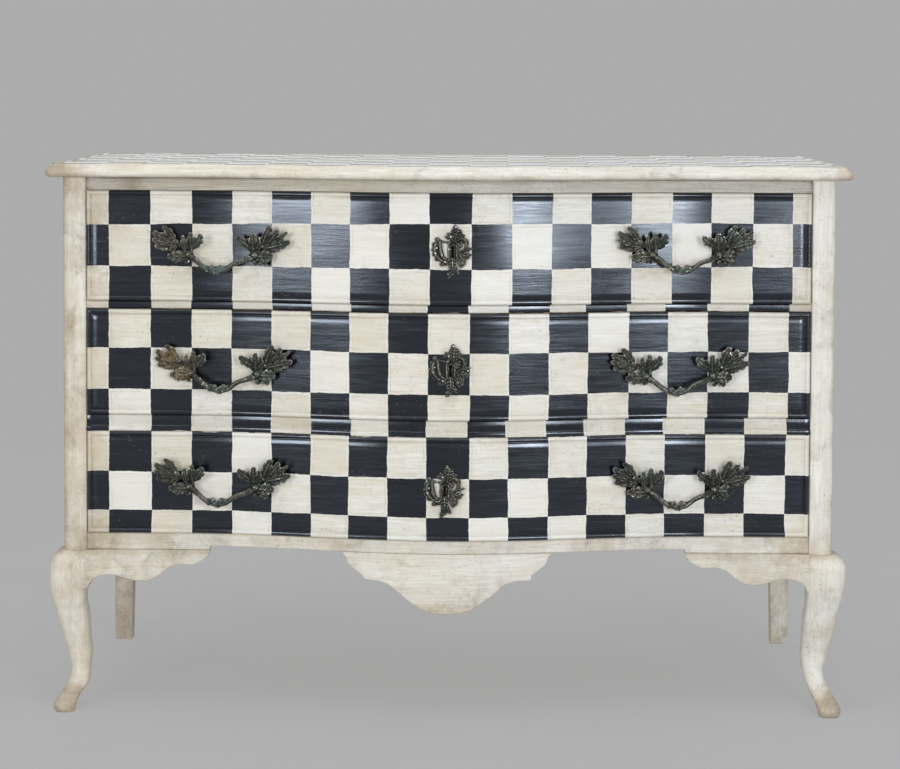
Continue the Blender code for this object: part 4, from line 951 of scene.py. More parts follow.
def frontLeg(side):
    name = "right" if side > 0 else "left"
    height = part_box(f"{name}_front_leg")[1].z
    postInner, caseHalf = sorted(abs(corner.x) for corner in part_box(f"{name}_front_post"))
    tables = [[(row[0], row[index]) for row in leg["shares"]] for index in (1, 2, 3)]
    moves = [[(row[0], row[index] / 1000) for row in leg[name]] for index in (1, 2)]
    rings = []
    for share in evenly(0.0, 1.0, leg["rings"]):
        outer = caseHalf + eased(tables[0], share) * leg["knee"] + eased(moves[0], share)
        fore = frontPlane - leg["proud"] - eased(tables[1], share) * leg["knee"]
        inner = postInner - eased(tables[2], share) * leg["width"] + eased(moves[1], share)
        square = min(1.0, max(0.0, (share - 0.45) / 0.2)) * 0.35 + 0.35 + 0.5 * min(share, 0.6)
        power = 1 - leg["squareness"] * min(1.0, square)
        width = outer - inner
        ring = []
        for turn in evenly(0.0, 2 * math.pi, leg["sides"])[:-1]:
            across, along = math.cos(turn), math.sin(turn)
            x = (outer + inner) / 2 + math.copysign(abs(across) ** power, across) * width / 2
            deep = width * leg["depthShare"]
            y = fore + deep / 2 + math.copysign(abs(along) ** power, along) * deep / 2
            point = Vector((side * x, y, share * height))
            if 0 < share < 1:
                wave = noise.noise_vector(point * 26.0 + Vector((0, 0, side * 3.0)))
                point += Vector((wave.x, wave.y, 0.0)) * leg["unevenness"]
            ring.append(point)
        rings.append(ring)
    piece = meshFrom(f"{name}FrontLeg", *skin(rings), [finishes["creamPost"]], 60.0)
    addValue(piece.data, "stain", lambda point: 0.12 + 0.75 * bell(point.z, 0.012, 0.030)
             + 0.5 * bell(point.z, height, 0.006))
    return mount(piece, "case", [f"{name}_front_leg"])


for side in (-1, 1):
    frontLeg(side)
print("front legs done")

# ---- brackets and pendant

apron = {
    "thickness": 0.020, "bracketWidth": 0.1935, "bracketDepth": 0.059, "steps": 4,
    "softEdge": 0.0022, "pendantHalf": 0.165, "pendantDepth": 0.0957,
    "bracket": (
        (0.000, 1.000), (0.013, 0.881), (0.044, 0.788), (0.096, 0.720), (0.152, 0.695),
        (0.214, 0.703), (0.313, 0.805), (0.411, 0.864), (0.483, 0.856), (0.556, 0.763),
        (0.618, 0.602), (0.672, 0.475), (0.726, 0.415), (0.845, 0.420), (0.891, 0.373),
        (0.933, 0.297), (0.979, 0.183), (1.000, 0.060),
    ),
    "pendant": (
        (0.000, 1.000), (0.080, 0.994), (0.158, 0.977), (0.230, 0.930), (0.303, 0.857),
        (0.427, 0.700), (0.556, 0.522), (0.642, 0.470), (0.727, 0.457), (0.809, 0.449),
        (0.815, 0.376), (0.885, 0.287), (0.952, 0.183), (0.967, 0.104), (1.000, 0.030),
    ),
    "unevenness": 0.0007, "overlap": 0.00028, "tuck": 0.010, "blend": 0.062, "fall": 2.0, "flow": 0.92,
    "proud": 0.0002, "apart": 0.0005,
}


def apronBracket(side):
    name = "right" if side > 0 else "left"
    low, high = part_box(f"{name}_apron_bracket")
    start = max(abs(low.x), abs(high.x))
    tucked = start + apron["tuck"]
    points = [
        (start - width * apron["bracketWidth"], high.z - depth * apron["bracketDepth"])
        for width, depth in apron["bracket"]
    ]
    line = roundedLine(points, apron["steps"])
    kept = [(tucked, line[0].y - 0.004), (start + apron["tuck"] / 2, line[0].y - 0.002)]
    for point in line:
        if kept[-1][0] - point.x > apron["apart"]:
            bottom = point.y + noise.noise(Vector((point.x * 60, side * 4.0, 0))) * apron["unevenness"]
            kept.append((point.x, bottom))
    fronts = [(row[0], row[2]) for row in leg["shares"]]
    top = high.z + apron["overlap"]
    edge = apron["softEdge"]

    def foreAt(x, z):
        near = max(0.0, 1 - (tucked - x) / apron["blend"])
        proud = leg["proud"] + eased(fronts, min(1.0, z / high.z)) * leg["knee"]
        return low.y - apron["proud"] - apron["flow"] * proud * near ** apron["fall"]

    rings = []
    for x, bottom in kept:
        soft = min(edge, (top - bottom) / 4)
        ring = [(side * x, foreAt(x, z), z) for z in evenly(top, bottom + soft, 9)]
        fore = foreAt(x, bottom + soft)
        for sine, cosine in quarterArc(4)[1:]:
            ring.append((side * x, fore + soft * (1 - cosine), bottom + soft * (1 - sine)))
        for sine, cosine in quarterArc(3):
            ring.append((side * x, high.y - soft * (1 - sine), bottom + soft * (1 - cosine)))
        ring.append((side * x, high.y, top))
        rings.append(ring)
    piece = meshFrom(f"{name}ApronBracket", *skin(rings), [finishes["creamRail"]], 50.0)
    addValue(piece.data, "stain", lambda point: 0.30 + 0.30 * bell(point.z, high.z, 0.010))
    return mount(piece, "case", [f"{name}_apron_bracket"])


def centrePendant():
    low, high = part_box("centre_apron_pendant")
    half = [(w * apron["pendantHalf"], d * apron["pendantDepth"]) for w, d in apron["pendant"]]
    points = [(-x, d) for x, d in reversed(half[1:])] + half
    line = roundedLine(points, 3)
    kept = [line[0]]
    for point in line[1:]:
        if point.x - kept[-1].x > apron["apart"]:
            kept.append(point)
    rings = []
    edge = apron["softEdge"]
    for x, depth in kept:
        depth += noise.noise(Vector((x * 55, 9.0, 0))) * apron["unevenness"]
        bottom = high.z - depth
        fore = frontPlane + swellAt(x)
        back = fore + apron["thickness"]
        ring = [(x, fore, high.z + apron["overlap"]), (x, fore, (high.z * 2 + bottom) / 3 + edge / 3),
                (x, fore, (high.z + bottom * 2) / 3 + edge * 2 / 3)]
        arc = quarterArc(4)
        ring += [(x, fore + edge * (1 - cosine), bottom + edge * (1 - sine)) for sine, cosine in arc]
        ring += [(x, back - edge * (1 - sine), bottom + edge * (1 - cosine)) for sine, cosine in arc]
        ring.append((x, back, high.z + apron["overlap"]))
        rings.append(ring)
    piece = meshFrom("centreApronPendant", *skin(rings), [finishes["creamRail"]], 45.0)
    addValue(piece.data, "stain", lambda point: 0.10 + 0.45 * bell(point.z, low.z, 0.012))
    return mount(piece, "case", ["centre_apron_pendant"])


for side in (-1, 1):
    apronBracket(side)
centrePendant()
print("apron done")

# ---- boards that keep the CAD's shape, with soft edges

for node in ("left_side_panel", "right_side_panel", "left_side_apron", "right_side_apron"):
    dressNode(node, "creamSide", 0.0010)
for node, soiled in (("left_rear_leg", 0.45), ("right_rear_leg", 0.15),
                     ("left_rear_stile", 0.2), ("right_rear_stile", 0.2)):
    board = dressNode(node, "creamRear", 0.0012)
    addValue(board.data, "stain", lambda point: soiled)
dressNode("rear_apron", "creamRail", 0.0012)
for node in ("lower_back_board", "upper_back_board", "top_rear_rail"):
    dressNode(node, "pineX", 0.0010)
for level in levels:
    for side in ("left", "right"):
        dressNode(f"{level}_{side}_runner", "pineY", 0.0008)
        dressNode(f"{level}_drawer_{side}_side", "pineY", 0.0006)
    dressNode(f"{level}_drawer_back", "pineX", 0.0008)
    dressNode(f"{level}_drawer_bottom", "pineX", 0.0004)
    dressNode(f"{level}_lock_case", "iron", 0.0005)
    dressNode(f"{level}_lock_bolt", "steel", 0.0005)
print("plain boards done")

# ---- cast fittings

casting = {
    "voxel": 0.00070, "escutcheonVoxel": 0.00050, "bossRadius": 0.0064, "bossHeight": 0.0105,
    "studRadius": 0.0025, "studLength": 0.027, "roughness": 0.00022,
    "outline": ((0.0, 0.34), (0.15, 0.72), (0.35, 0.98), (0.55, 1.0), (0.75, 0.88), (0.9, 0.64),
                (1.0, 0.26)),
}


# Points and faces of a casting before its parts run together; places are (across, out, up)
class Shape:
    def __init__(self):
        self.points = []
        self.faces = []

    def add(self, points, faces):
        base = len(self.points)
        self.points += [tuple(point) for point in points]
        self.faces += [tuple(base + index for index in face) for face in faces]

    # a bent rod; flat squeezes it towards the face
    def rod(self, centres, radii, sides=10, flat=1.0, wave=0.0):
        centres = [Vector(centre) for centre in centres]
        rings = []
        for index, (centre, radius) in enumerate(zip(centres, radii)):
            run = centres[min(index + 1, len(centres) - 1)] - centres[max(index - 1, 0)]
            run.normalize()
            side = run.cross(Vector((0, 1, 0)))
            side = side.normalized() if side.length > 0.01 else Vector((1, 0, 0))
            face = side.cross(run).normalized()
            ring = []
            for turn in evenly(0.0, 2 * math.pi, sides)[:-1]:
                reach = radius * (1 + wave * math.cos(3 * turn + index * 0.7))
                ring.append(centre + side * (reach * math.cos(turn)) + face * (reach * flat * math.sin(turn)))
            rings.append(ring)
        self.add(*skin(rings))

    def knob(self, centre, size, sides=12):
        rings = []
        for lift in evenly(-0.96, 0.96, 7):
            wide = math.sqrt(1 - lift * lift)
            rings.append([
                (centre[0] + size[0] * wide * math.cos(turn), centre[1] + size[1] * wide * math.sin(turn),
                 centre[2] + size[2] * lift)
                for turn in evenly(0.0, 2 * math.pi, sides)[:-1]
            ])
        self.add(*skin(rings))

    # a leaf with rounded lobes down both sides: a midrib, and a rib out to each lobe
    def leaf(self, root, tip, width, notches=0, bow=0.0, arch=0.0, curl=0.0, thick=0.0028, cup=0.0012,
             notchDepth=0.34, lean=0.55):
        root, tip = Vector(root), Vector(tip)
        run = tip - root
        along = Vector((run.x, 0, run.z)).normalized()
        sideways = Vector((-along.z, 0, along.x))
        steps = 9 + 7 * notches
        rings = []
        for row in range(steps + 1):
            u = row / steps
            place = (notches + 0.5) * u if notches else 0.5
            lobe = abs(math.sin(math.pi * place)) ** 0.75
            half = width / 2 * eased(casting["outline"], u) * (1 - notchDepth * (1 - lobe))
            centre = root + run * u + sideways * (bow * 4 * u * (1 - u))
            centre.y += arch * 4 * u * (1 - u) + curl * u**3
            ring = []
            for turn in evenly(0.0, 2 * math.pi, 24)[:-1]:
                across, out = math.cos(turn), math.sin(turn)
                beside = abs(across)
                lift = thick / 2 * (1 - 0.35 * u) * out
                if out > 0:
                    lift += 0.32 * thick * math.exp(-((across / 0.15) ** 2)) * (1 - 0.6 * u)
                    lift += 0.00085 * (lobe - 0.5) * min(1.0, beside * 2.2) * min(1, notches)
                    lift += 0.00022 * math.cos(2 * math.pi * (3 * place - beside)) * beside
                lift += cup * (across * across - 0.5) * (1 - 0.3 * u)
                forward = lean * half * beside**1.5 * (1 - u * u)
                ring.append(centre + sideways * (half * across) + along * forward + Vector((0, lift, 0)))
            rings.append(ring)
        self.add(*skin(rings))

    # runs the overlapping parts into one skin, a little rough like a sand casting
    def melt(self, name, voxel):
        piece = meshFrom(name, self.points, self.faces, [], 180.0)
        remesh = piece.modifiers.new("run", "REMESH")
        remesh.mode, remesh.voxel_size = "VOXEL", voxel
        smooth = piece.modifiers.new("smooth", "SMOOTH")
        smooth.factor, smooth.iterations = 0.5, 2
        settle(piece)
        normals = [vertex.normal.copy() for vertex in piece.data.vertices]
        for vertex, normal in zip(piece.data.vertices, normals):
            rough = noise.noise(vertex.co * 320) + 0.6 * noise.noise(vertex.co * 820)
            vertex.co += normal * (rough * casting["roughness"])
        return piece


def readPoints(mesh, label):
    numbers = np.zeros(len(mesh.vertices) * 3)
    mesh.vertices.foreach_get(label, numbers)
    return numbers.reshape(-1, 3)


# Stores how far each point stands out of its surroundings: 0.5 is flat
def addRelief(mesh, reach, rounds=9):
    count = len(mesh.vertices)
    places, normals = readPoints(mesh, "co"), readPoints(mesh, "normal")
    edges = np.zeros(len(mesh.edges) * 2, np.int64)
    mesh.edges.foreach_get("vertices", edges)
    first, second = edges.reshape(-1, 2).T
    degree = np.bincount(first, minlength=count) + np.bincount(second, minlength=count)
    middle = places.copy()
    for _ in range(rounds):
        total = np.stack([
            np.bincount(first, middle[second, axis], count) + np.bincount(second, middle[first, axis], count)
            for axis in range(3)
        ], 1)
        middle = total / np.maximum(degree, 1)[:, None]
    stand = ((places - middle) * normals).sum(1) / reach
    layer = mesh.attributes.new("relief", "FLOAT", "POINT")
    layer.data.foreach_set("value", np.clip(0.5 + stand, 0, 1).astype(np.float32))


handle = {
    # leaves in millimetres: root, tip (across, out, up), width, notches, bow, arch, curl
    "leaves": (
        # left spray: the big leaf, three broad lobes with smaller ones between
        ((-66, 13, 18), (-109, 17, 40), 18, 2, 2, 2, 2), ((-72, 14, 20), (-93, 18, 49), 15, 2, -2, 2, 2),
        ((-66, 13, 17), (-107, 15, 17), 17, 2, -1, 2, 1), ((-76, 14, 22), (-111, 17, 28), 12, 1, 1, 2, 2),
        ((-68, 13, 16), (-92, 14, 11), 11, 1, -1, 2, 0), ((-66, 15, 20), (-77, 19, 27), 10, 1, 0, 2, 1),
        # left spray: upright leaves
        ((-56, 12, 6), (-61, 17, 35), 12, 2, 1, 3, 2), ((-51, 12, 7), (-49, 17, 40), 14, 2, -1, 3, 2),
        ((-48, 13, 12), (-31, 19, 37), 17, 2, -2, 4, 4), ((-46, 14, 14), (-37, 17, 26), 10, 1, -1, 2, 1),
        # left spray: low leaf
        ((-48, 12, 2), (-87, 14, 1), 18, 3, 0, 5, 1), ((-56, 12, 1), (-76, 13, -8), 12, 1, -1, 2, 0),
        ((-56, 13, 5), (-79, 15, 9), 11, 1, 1, 3, 1), ((-50, 12, -1), (-59, 12, -9), 10, 1, 0, 2, 0),
        # leaves wrapped round the middle of the branch
        ((-24, 27, -17), (-2, 31, -25), 11, 2, 2, 3, 1), ((13, 27, -13), (-9, 31, -24), 10, 2, -2, 3, 1),
        ((-12, 30, -20), (8, 31, -17), 9, 1, 2, 2, 0), ((-15, 29, -18), (-22, 29, -12), 7, 0, 0, 1, 0),
        # right spray: low leaf
        ((48, 12, 3), (83, 14, 2), 20, 3, 0, 5, 1), ((56, 12, 1), (72, 13, -12), 13, 1, 1, 2, 0),
        ((50, 12, -1), (57, 12, -12), 11, 1, 0, 2, 0), ((58, 13, 7), (80, 15, 11), 12, 1, -1, 3, 1),
        # right spray: upright leaves and the one that turns back
        ((52, 12, 5), (51, 18, 39), 16, 2, 1, 4, 3), ((55, 12, 7), (60, 17, 34), 11, 2, -1, 3, 2),
        ((48, 12, 7), (42, 16, 31), 10, 1, 1, 3, 1), ((51, 14, 15), (25, 18, 34), 16, 2, 2, 3, 3),
        # right spray: the big leaf with split fingers
        ((64, 13, 16), (79, 18, 51), 17, 2, 1, 3, 2), ((70, 14, 18), (92, 18, 47), 14, 1, -1, 3, 2),
        ((74, 15, 20), (106, 19, 42), 11, 2, -1, 2, 3), ((62, 13, 14), (110, 17, 26), 18, 3, -1, 4, 2),
        ((64, 13, 13), (94, 15, 13), 13, 2, 1, 3, 0),
    ),
    "branch": (
        (-64, 13, 21, 3.2), (-60, 12, 14, 4.6), (-56, 11, 7, 5.4), (-50, 12, 1.5, 5.4),
        (-45, 16, -1.5, 4.8),
        (-39, 22, -5, 4.4), (-32, 26, -10.5, 4.2), (-25, 27.5, -15.5, 4.2), (-18, 27, -19, 4.4),
        (-9, 28, -21, 4.8), (-1, 28.5, -20.5, 4.8), (7, 28, -18.5, 4.4), (13, 27, -14.5, 4.0),
        (19, 26.5, -9.5, 3.9), (26, 25.5, -6, 3.9), (34, 23.5, -4, 4.1), (42, 17, -2, 4.8),
        (49, 12, 1, 5.4), (55, 11, 8, 5.6), (61, 12, 15, 4.4), (66, 13, 20, 3.2),
    ),
    # how far each one is gilt on its left spray, and green along its branch
    "tints": {
        "lower": {"left": (0.15, 0.25), "right": (0.05, 0.15)},
        "middle": {"left": (0.80, 0.15), "right": (0.10, 0.20)},
        "upper": {"left": (0.20, 0.60), "right": (0.10, 0.30)},
    },
    "stems": (((-46, 12, -1), (-48, 14, 8), (-46, 16, 20), 3.2),
              ((48, 12, 4), (49, 14, 13), (49, 15, 20), 3.0)),
    "buds": (
        ((-53, 13, 4), (7.0, 5.6, 6.4)), ((53, 13, 4), (7.4, 6.0, 6.8)), ((-14, 29, -15), (5.0, 4.0, 4.4)),
        ((0, 29, -14.5), (5.0, 4.0, 4.4)), ((-8, 30, -23), (4.6, 3.6, 3.6)), ((6, 29, -20), (3.8, 3.2, 3.2)),
        ((-21, 28, -20), (4.0, 3.4, 3.4)), ((-66, 14, 20), (4.4, 3.4, 4.4)), ((66, 14, 18), (4.4, 3.4, 4.4)),
    ),
}


def castHandle():
    shape = Shape()
    for root, tip, width, notches, bow, arch, curl in handle["leaves"]:
        shape.leaf(Vector(root) * mm, Vector(tip) * mm, width * mm, notches, bow * mm, arch * mm, curl * mm)
    rows = handle["branch"]
    shape.rod([Vector(row[:3]) * mm for row in rows], [row[3] * mm for row in rows], 14, 1.0, 0.10)
    for first, second, third, radius in handle["stems"]:
        places = [Vector(place) * mm for place in (first, second, third)]
        shape.rod(places, [radius * mm, radius * 0.9 * mm, radius * 0.8 * mm], 10)
    for centre, size in handle["buds"]:
        shape.knob(Vector(centre) * mm, Vector(size) * mm)
    for end in (-1, 1):
        x, high, wide = end * fittings["node"], casting["bossHeight"], casting["bossRadius"]
        shape.rod([(x, 0.0003, 0), (x, high * 0.5, 0), (x, high * 1.2, 0.001)],
                  [wide, wide * 0.88, wide * 0.8], 16)
        shape.rod([(x, high, 0), (x, 0, 0), (x, -casting["studLength"], 0)], [casting["studRadius"]] * 3, 12)
    piece = shape.melt("handleCasting", casting["voxel"])
    addRelief(piece.data, 0.0010)
    return piece


def fitCasting(source, name, placePoint, node):
    mesh = source.data.copy()
    mesh.name = name
    mesh.vertices.foreach_set("co", placePoint(readPoints(mesh, "co")).ravel())
    mesh.flip_normals()  # out of the face is -Y, which turns the casting inside out
    mesh.materials.clear()
    mesh.materials.append(finishes["bronze"])
    mesh.shade_smooth()
    mesh.update()
    return mount(newPiece(name, mesh), bodyOf[node], [node])


def fieldAt(x):
    return frontPlane + swellAt(x) - chest["fieldProud"]


handleSource = castHandle()
for level in levels:
    for sideName, (centreX, centreZ) in zip(("left", "right"), fittings["handles"][level]):
        firstY = fieldAt(centreX - fittings["node"])
        secondY = fieldAt(centreX + fittings["node"])

        def seatHandle(places):
            part = (places[:, 0] + fittings["node"]) / (2 * fittings["node"])
            seat = firstY + (secondY - firstY) * part
            return np.stack([centreX + places[:, 0], seat - places[:, 1], centreZ + places[:, 2]], 1)

        piece = fitCasting(handleSource, f"{level}{sideName.capitalize()}Handle", seatHandle,
                           f"{level}_{sideName}_handle")
        giltShare, greenShare = handle["tints"][level][sideName]
        addValue(piece.data, "gilt", lambda point: giltShare * bell(point.x - centreX, -0.085, 0.035))
        addValue(piece.data, "verdigris", lambda point: greenShare * bell(point.x - centreX, -0.004, 0.034))
print("handles done:", len(handleSource.data.polygons), "faces each")
bpy.data.objects.remove(handleSource, do_unlink=True)

escutcheon = {
    # leaves in millimetres from the keyhole's eye: root, tip, width, bow, notches
    "leaves": (
        ((4, 2.4, 8), (7, 4.6, 31), 17, 0, 4), ((2, 2.4, 9), (-8, 3.8, 24), 10, -1, 2),
        ((8, 2.4, 10), (19, 3.6, 21), 9, 1, 2), ((6, 3.0, 22), (4, 3.6, 36.5), 8, 1, 2),
        ((8, 3.0, 22), (13, 3.4, 29), 6, 0, 0), ((3, 3.0, 20), (-1, 3.4, 29), 5, 0, 0),
        ((-6, 2.2, 13), (-12, 3.0, 19), 5, 0, 0), ((-22, 2.4, 8), (-25.5, 3.0, 17), 8, 0, 0),
        ((-26, 2.4, 4), (-32, 3.0, 8), 6, 0, 0), ((-27, 2.4, -2), (-34, 2.8, -4), 5, 0, 0),
        ((-26, 2.4, -8), (-32, 2.8, -12), 6, 0, 0), ((-21, 2.4, -14), (-27, 3.0, -20), 7, 0, 0),
        ((-12, 2.4, -20), (-20, 3.0, -28), 8, 1, 2), ((-8, 2.4, -20), (-10, 3.0, -27), 7, 0, 0),
        ((12, 2.4, -6), (32, 3.4, -0.6), 6.5, 1, 2), ((13, 2.4, -10), (30, 3.4, -10.5), 7, -1, 2),
        ((10, 2.4, -12), (19, 3.2, -25), 8, 2, 2), ((8, 2.4, -16), (14, 3.2, -32), 8, 1, 2),
        ((17, 2.4, 10), (23, 3.0, 14), 6, 0, 0), ((21, 2.4, 4), (25, 2.8, 6), 5, 0, 0),
        ((0, 2.6, -14), (0, 3.8, -38), 14, 0, 4), ((-1, 2.6, -28), (-6, 3.4, -47.5), 9, 1, 2),
        ((3, 2.6, -26), (10, 3.4, -41), 8, -1, 2), ((2, 2.6, -30), (1, 3.2, -43), 6, 0, 0),
        ((-19, 2.0, 13), (-30, 2.8, -3), 13, 0, 3), ((-29, 2.0, -2), (-17, 2.8, -21), 14, 1, 3),
        ((8, 2.2, -6), (27, 3.2, -15), 14, -1, 3), ((6, 2.2, -13), (19, 3.2, -28), 14, 1, 3),
        ((14, 2.2, 15), (25, 3.0, 6), 9, 1, 2), ((7, 2.0, -4), (14, 2.6, 9), 10, 0, 2),
        ((5, 2.2, 10), (13, 3.2, 27), 12, 1, 3),
        ((-3, 2.2, -16), (-14, 3.0, -27), 11, 0, 2), ((-24, 2.0, 10), (-23, 2.6, -13), 11, 1, 2),
    ),
    # rods: places (across, up) and radii in millimetres
    "rods": (
        (((-22, 12), (-27, 5), (-28, -3), (-26, -11), (-20, -18), (-12, -22), (-6, -21)),
         (1.7, 2.5, 2.7, 2.7, 2.6, 2.3, 1.8)),
        (((-20, 11), (-19.5, 3), (-18.5, -4), (-17, -11), (-12.5, -17), (-6, -19)),
         (2.4, 2.8, 3.0, 3.0, 2.5, 1.8)),
        (((-25, 11.5), (-20, 11.5), (-14, 9.5), (-7, 9)), (1.8, 1.8, 1.6, 1.6)),
        (((5, 8), (8, 13), (13.5, 15), (19, 12.5), (21.8, 6.5), (21, 0), (17, -4.5), (11, -6.5)),
         (1.8, 2.2, 2.5, 2.5, 2.4, 2.2, 2.0, 1.8)),
        (((9, 8.5), (12, 10), (15.5, 8.5), (15, 7)), (1.7, 1.8, 1.7, 1.6)),
        (((-5.6, 5), (-6.2, -4), (-5.8, -13), (-5.0, -20)), (1.5, 1.6, 1.7, 1.7)),
        (((6.4, 5), (7.0, -4), (6.6, -13), (5.4, -20)), (1.7, 1.8, 1.8, 1.7)),
        (((9, -9), (13, -13), (14, -19), (11, -23)), (1.8, 2.3, 2.3, 1.7)),
        (((-7, 5), (-4, 9.5), (1, 11), (5.5, 9.5), (7.5, 5)), (1.6, 1.8, 1.9, 1.8, 1.6)),
    ),
    "knobs": ((-25, 0, 2.8), (-27, -8, 2.6), (-3.1, 17.5, 3.0), (-12, -21.5, 2.6), (-22, 12, 2.2),
              (16, -12, 2.2), (26, -5.5, 1.9), (4.5, 34, 2.0), (14, 20, 2.2), (0, -22.5, 2.8)),
    "plate": ((-4, 10), (-6, 5), (-6.5, -4), (-6.2, -13), (-5.5, -21), (-4, -28), (4, -28), (6, -21),
              (7.4, -13), (8.4, -4), (7.8, 5), (4, 10)),
    "plateThickness": 2.2, "thicker": 1.25, "radius": 0.0036, "slotWidth": 0.0046, "drop": 0.0160,
}


def castEscutcheon():
    shape = Shape()
    rings = []
    for out, grow in ((0.35, 1.0), (1.4, 1.0), (escutcheon["plateThickness"], 0.93)):
        rings.append([(x * grow * mm, out * mm, z * grow * mm) for x, z in escutcheon["plate"]])
    shape.add(*skin(rings))
    for root, tip, width, bow, notches in escutcheon["leaves"]:
        shape.leaf(Vector(root) * mm, Vector(tip) * mm, width * mm, notches, bow * mm, 0.8 * mm, 0.3 * mm,
                   0.0032, 0.0004)
    for places, radii in escutcheon["rods"]:
        line = roundedLine([Vector(place) for place in places], 4, 170)
        centres, widths = [], []
        for index, point in enumerate(line):
            at = index / (len(line) - 1) * (len(radii) - 1)
            low = min(int(at), len(radii) - 2)
            radius = radii[low] + (radii[low + 1] - radii[low]) * (at - low)
            radius *= escutcheon["thicker"]
            centres.append((point.x * mm, radius * 0.85 * mm, point.y * mm))
            widths.append(radius * mm)
        shape.rod(centres, widths, 12)
    for x, z, radius in escutcheon["knobs"]:
        shape.knob(Vector((x, 2.6, z)) * mm, Vector((radius, radius, radius)) * mm)
    piece = shape.melt("escutcheonCasting", casting["escutcheonVoxel"])
    cutter = keyholePrism()
    cut = piece.modifiers.new("keyhole", "BOOLEAN")
    cut.operation, cut.solver, cut.object = "DIFFERENCE", "EXACT", cutter
    settle(piece)
    bpy.data.objects.remove(cutter, do_unlink=True)
    addRelief(piece.data, 0.0008)
    return piece


def keyholePrism():
    radius, half = escutcheon["radius"], escutcheon["slotWidth"] / 2
    start = math.asin(half / radius)
    outline = [(-half, -escutcheon["drop"]), (half, -escutcheon["drop"])]
    for turn in evenly(start, 2 * math.pi - start, 28):
        outline.append((radius * math.sin(turn), -radius * math.cos(turn)))
    rings = [[(x, y, z) for x, z in outline] for y in (-0.02, 0.02)]
    return meshFrom("keyholePrism", *skin(rings), [], 30.0)


plateSource = castEscutcheon()
for level in levels:
    eyeX, eyeZ = fittings["eyes"][level]

    def seatPlate(places):
        x = eyeX + places[:, 0]
        bent = np.array([fieldAt(value) for value in x])
        return np.stack([x, bent - places[:, 1], eyeZ + places[:, 2]], 1)

    fitCasting(plateSource, f"{level}Escutcheon", seatPlate, f"{level}_escutcheon")
print("escutcheons done:", len(plateSource.data.polygons), "faces each")
bpy.data.objects.remove(plateSource, do_unlink=True)

# ---- screws, nuts, pins and drawer stops, set out by Geometry Nodes

hardware = {
    "nut": {"headRadius": 0.0050, "headHeight": 0.0040, "sides": 6, "washerRadius": 0.0072,
            "washerHeight": 0.0012, "seed": 4},
    "lockScrew": {"headRadius": 0.0032, "headHeight": 0.0012, "sides": 20, "washerRadius": 0.0036,
                  "washerHeight": 0.0004, "seed": 9},
    "pin": {"headRadius": 0.0013, "headHeight": 0.0014, "sides": 16, "washerRadius": 0.0010,
            "washerHeight": 0.0022, "seed": 2},
    "pins": ((-25, 0, 4.6), (-27, -8, 4.4), (-3, 17.5, 4.9), (-12, -21.5, 4.4), (27.5, -5.5, 3.4),
             (4.5, 33, 4.4)),
    "stop": (0.032, 0.018, 0.0048), "stopPlace": 0.452, "stopGap": 0.0012, "stopLift": 0.0001, "stopEdge": 0.0008,
    "tail": 0.0140, "seat": 0.0006, "screwInset": 0.006, "softShare": 0.18,
}


# The shape on every point, made real, in its finish
def setOnPoints(points, shape, finish, turn=None):
    spread = addNode(shape.tree, "GeometryNodeInstanceOnPoints",
                     {"Points": points, "Instance": shape, "Rotation": turn})
    real = addNode(shape.tree, "GeometryNodeRealizeInstances", {0: spread})
    parts = {"Geometry": real, "Material": finish}
    return {"Geometry": addNode(shape.tree, "GeometryNodeSetMaterial", parts)}


# A washer and a head on it, turned at random, with the slope and lean of their point
def headRule(points, headRadius, headHeight, washerRadius, washerHeight, sides, seed, finish):
    tree = points.tree
    discs = []
    for radius, height, corners, base in ((washerRadius, washerHeight, 24, 0.0),
                                          (headRadius, headHeight, sides, washerHeight)):
        disc = addNode(tree, "GeometryNodeMeshCylinder",
                       {"Vertices": corners, "Radius": radius, "Depth": height})
        move = addNode(tree, "ShaderNodeCombineXYZ", {"Z": calc("MULTIPLY_ADD", height, 0.5, base)})
        discs.append(addNode(tree, "GeometryNodeTransform", {"Geometry": disc, "Translation": move}))
    head = addNode(tree, "GeometryNodeJoinGeometry", {0: discs[0]})
    wire(tree, discs[1], head.socket.node.inputs[0])
    spin = addNode(tree, "FunctionNodeRandomValue", {2: 0.0, 3: 6.28, "Seed": seed}, 1, data_type="FLOAT")
    lean, slope = [
        addNode(tree, "GeometryNodeInputNamedAttribute", {"Name": label}, "Attribute", data_type="FLOAT")
        for label in ("lean", "slope")
    ]
    turn = addNode(tree, "ShaderNodeCombineXYZ", {0: lean, 1: spin, 2: slope})
    return setOnPoints(points, head, finish, turn)


def blockRule(points, size, finish):
    return setOnPoints(points, addNode(points.tree, "GeometryNodeMeshCube", {"Size": size}), finish)


sizeLabels = ("headRadius", "headHeight", "washerRadius", "washerHeight")
headTree = newTree(
    "turnedHeads", "GeometryNodeTree",
    {"points": "Geometry", **dict.fromkeys(sizeLabels, "Float"), "sides": "Int", "seed": "Int",
     "finish": "Material"}, headRule,
)
blockTree = newTree("stopBlocks", "GeometryNodeTree",
                    {"points": "Geometry", "size": "Vector", "finish": "Material"}, blockRule)


# A piece of points that the tree dresses; turns are the points' named numbers
def setOut(name, places, tree, values, turns=()):
    mesh = bpy.data.meshes.new(name)
    mesh.from_pydata(places, [], [])
    for label, numbers in turns:
        mesh.attributes.new(label, "FLOAT", "POINT").data.foreach_set("value", numbers)
    piece = newPiece(name, mesh)
    dressing = piece.modifiers.new("dressing", "NODES")
    dressing.node_group = tree
    for item in tree.interface.items_tree:
        if item.item_type == "SOCKET" and item.in_out == "INPUT" and item.name in values:
            dressing[item.identifier] = values[item.name]
    return settle(piece)


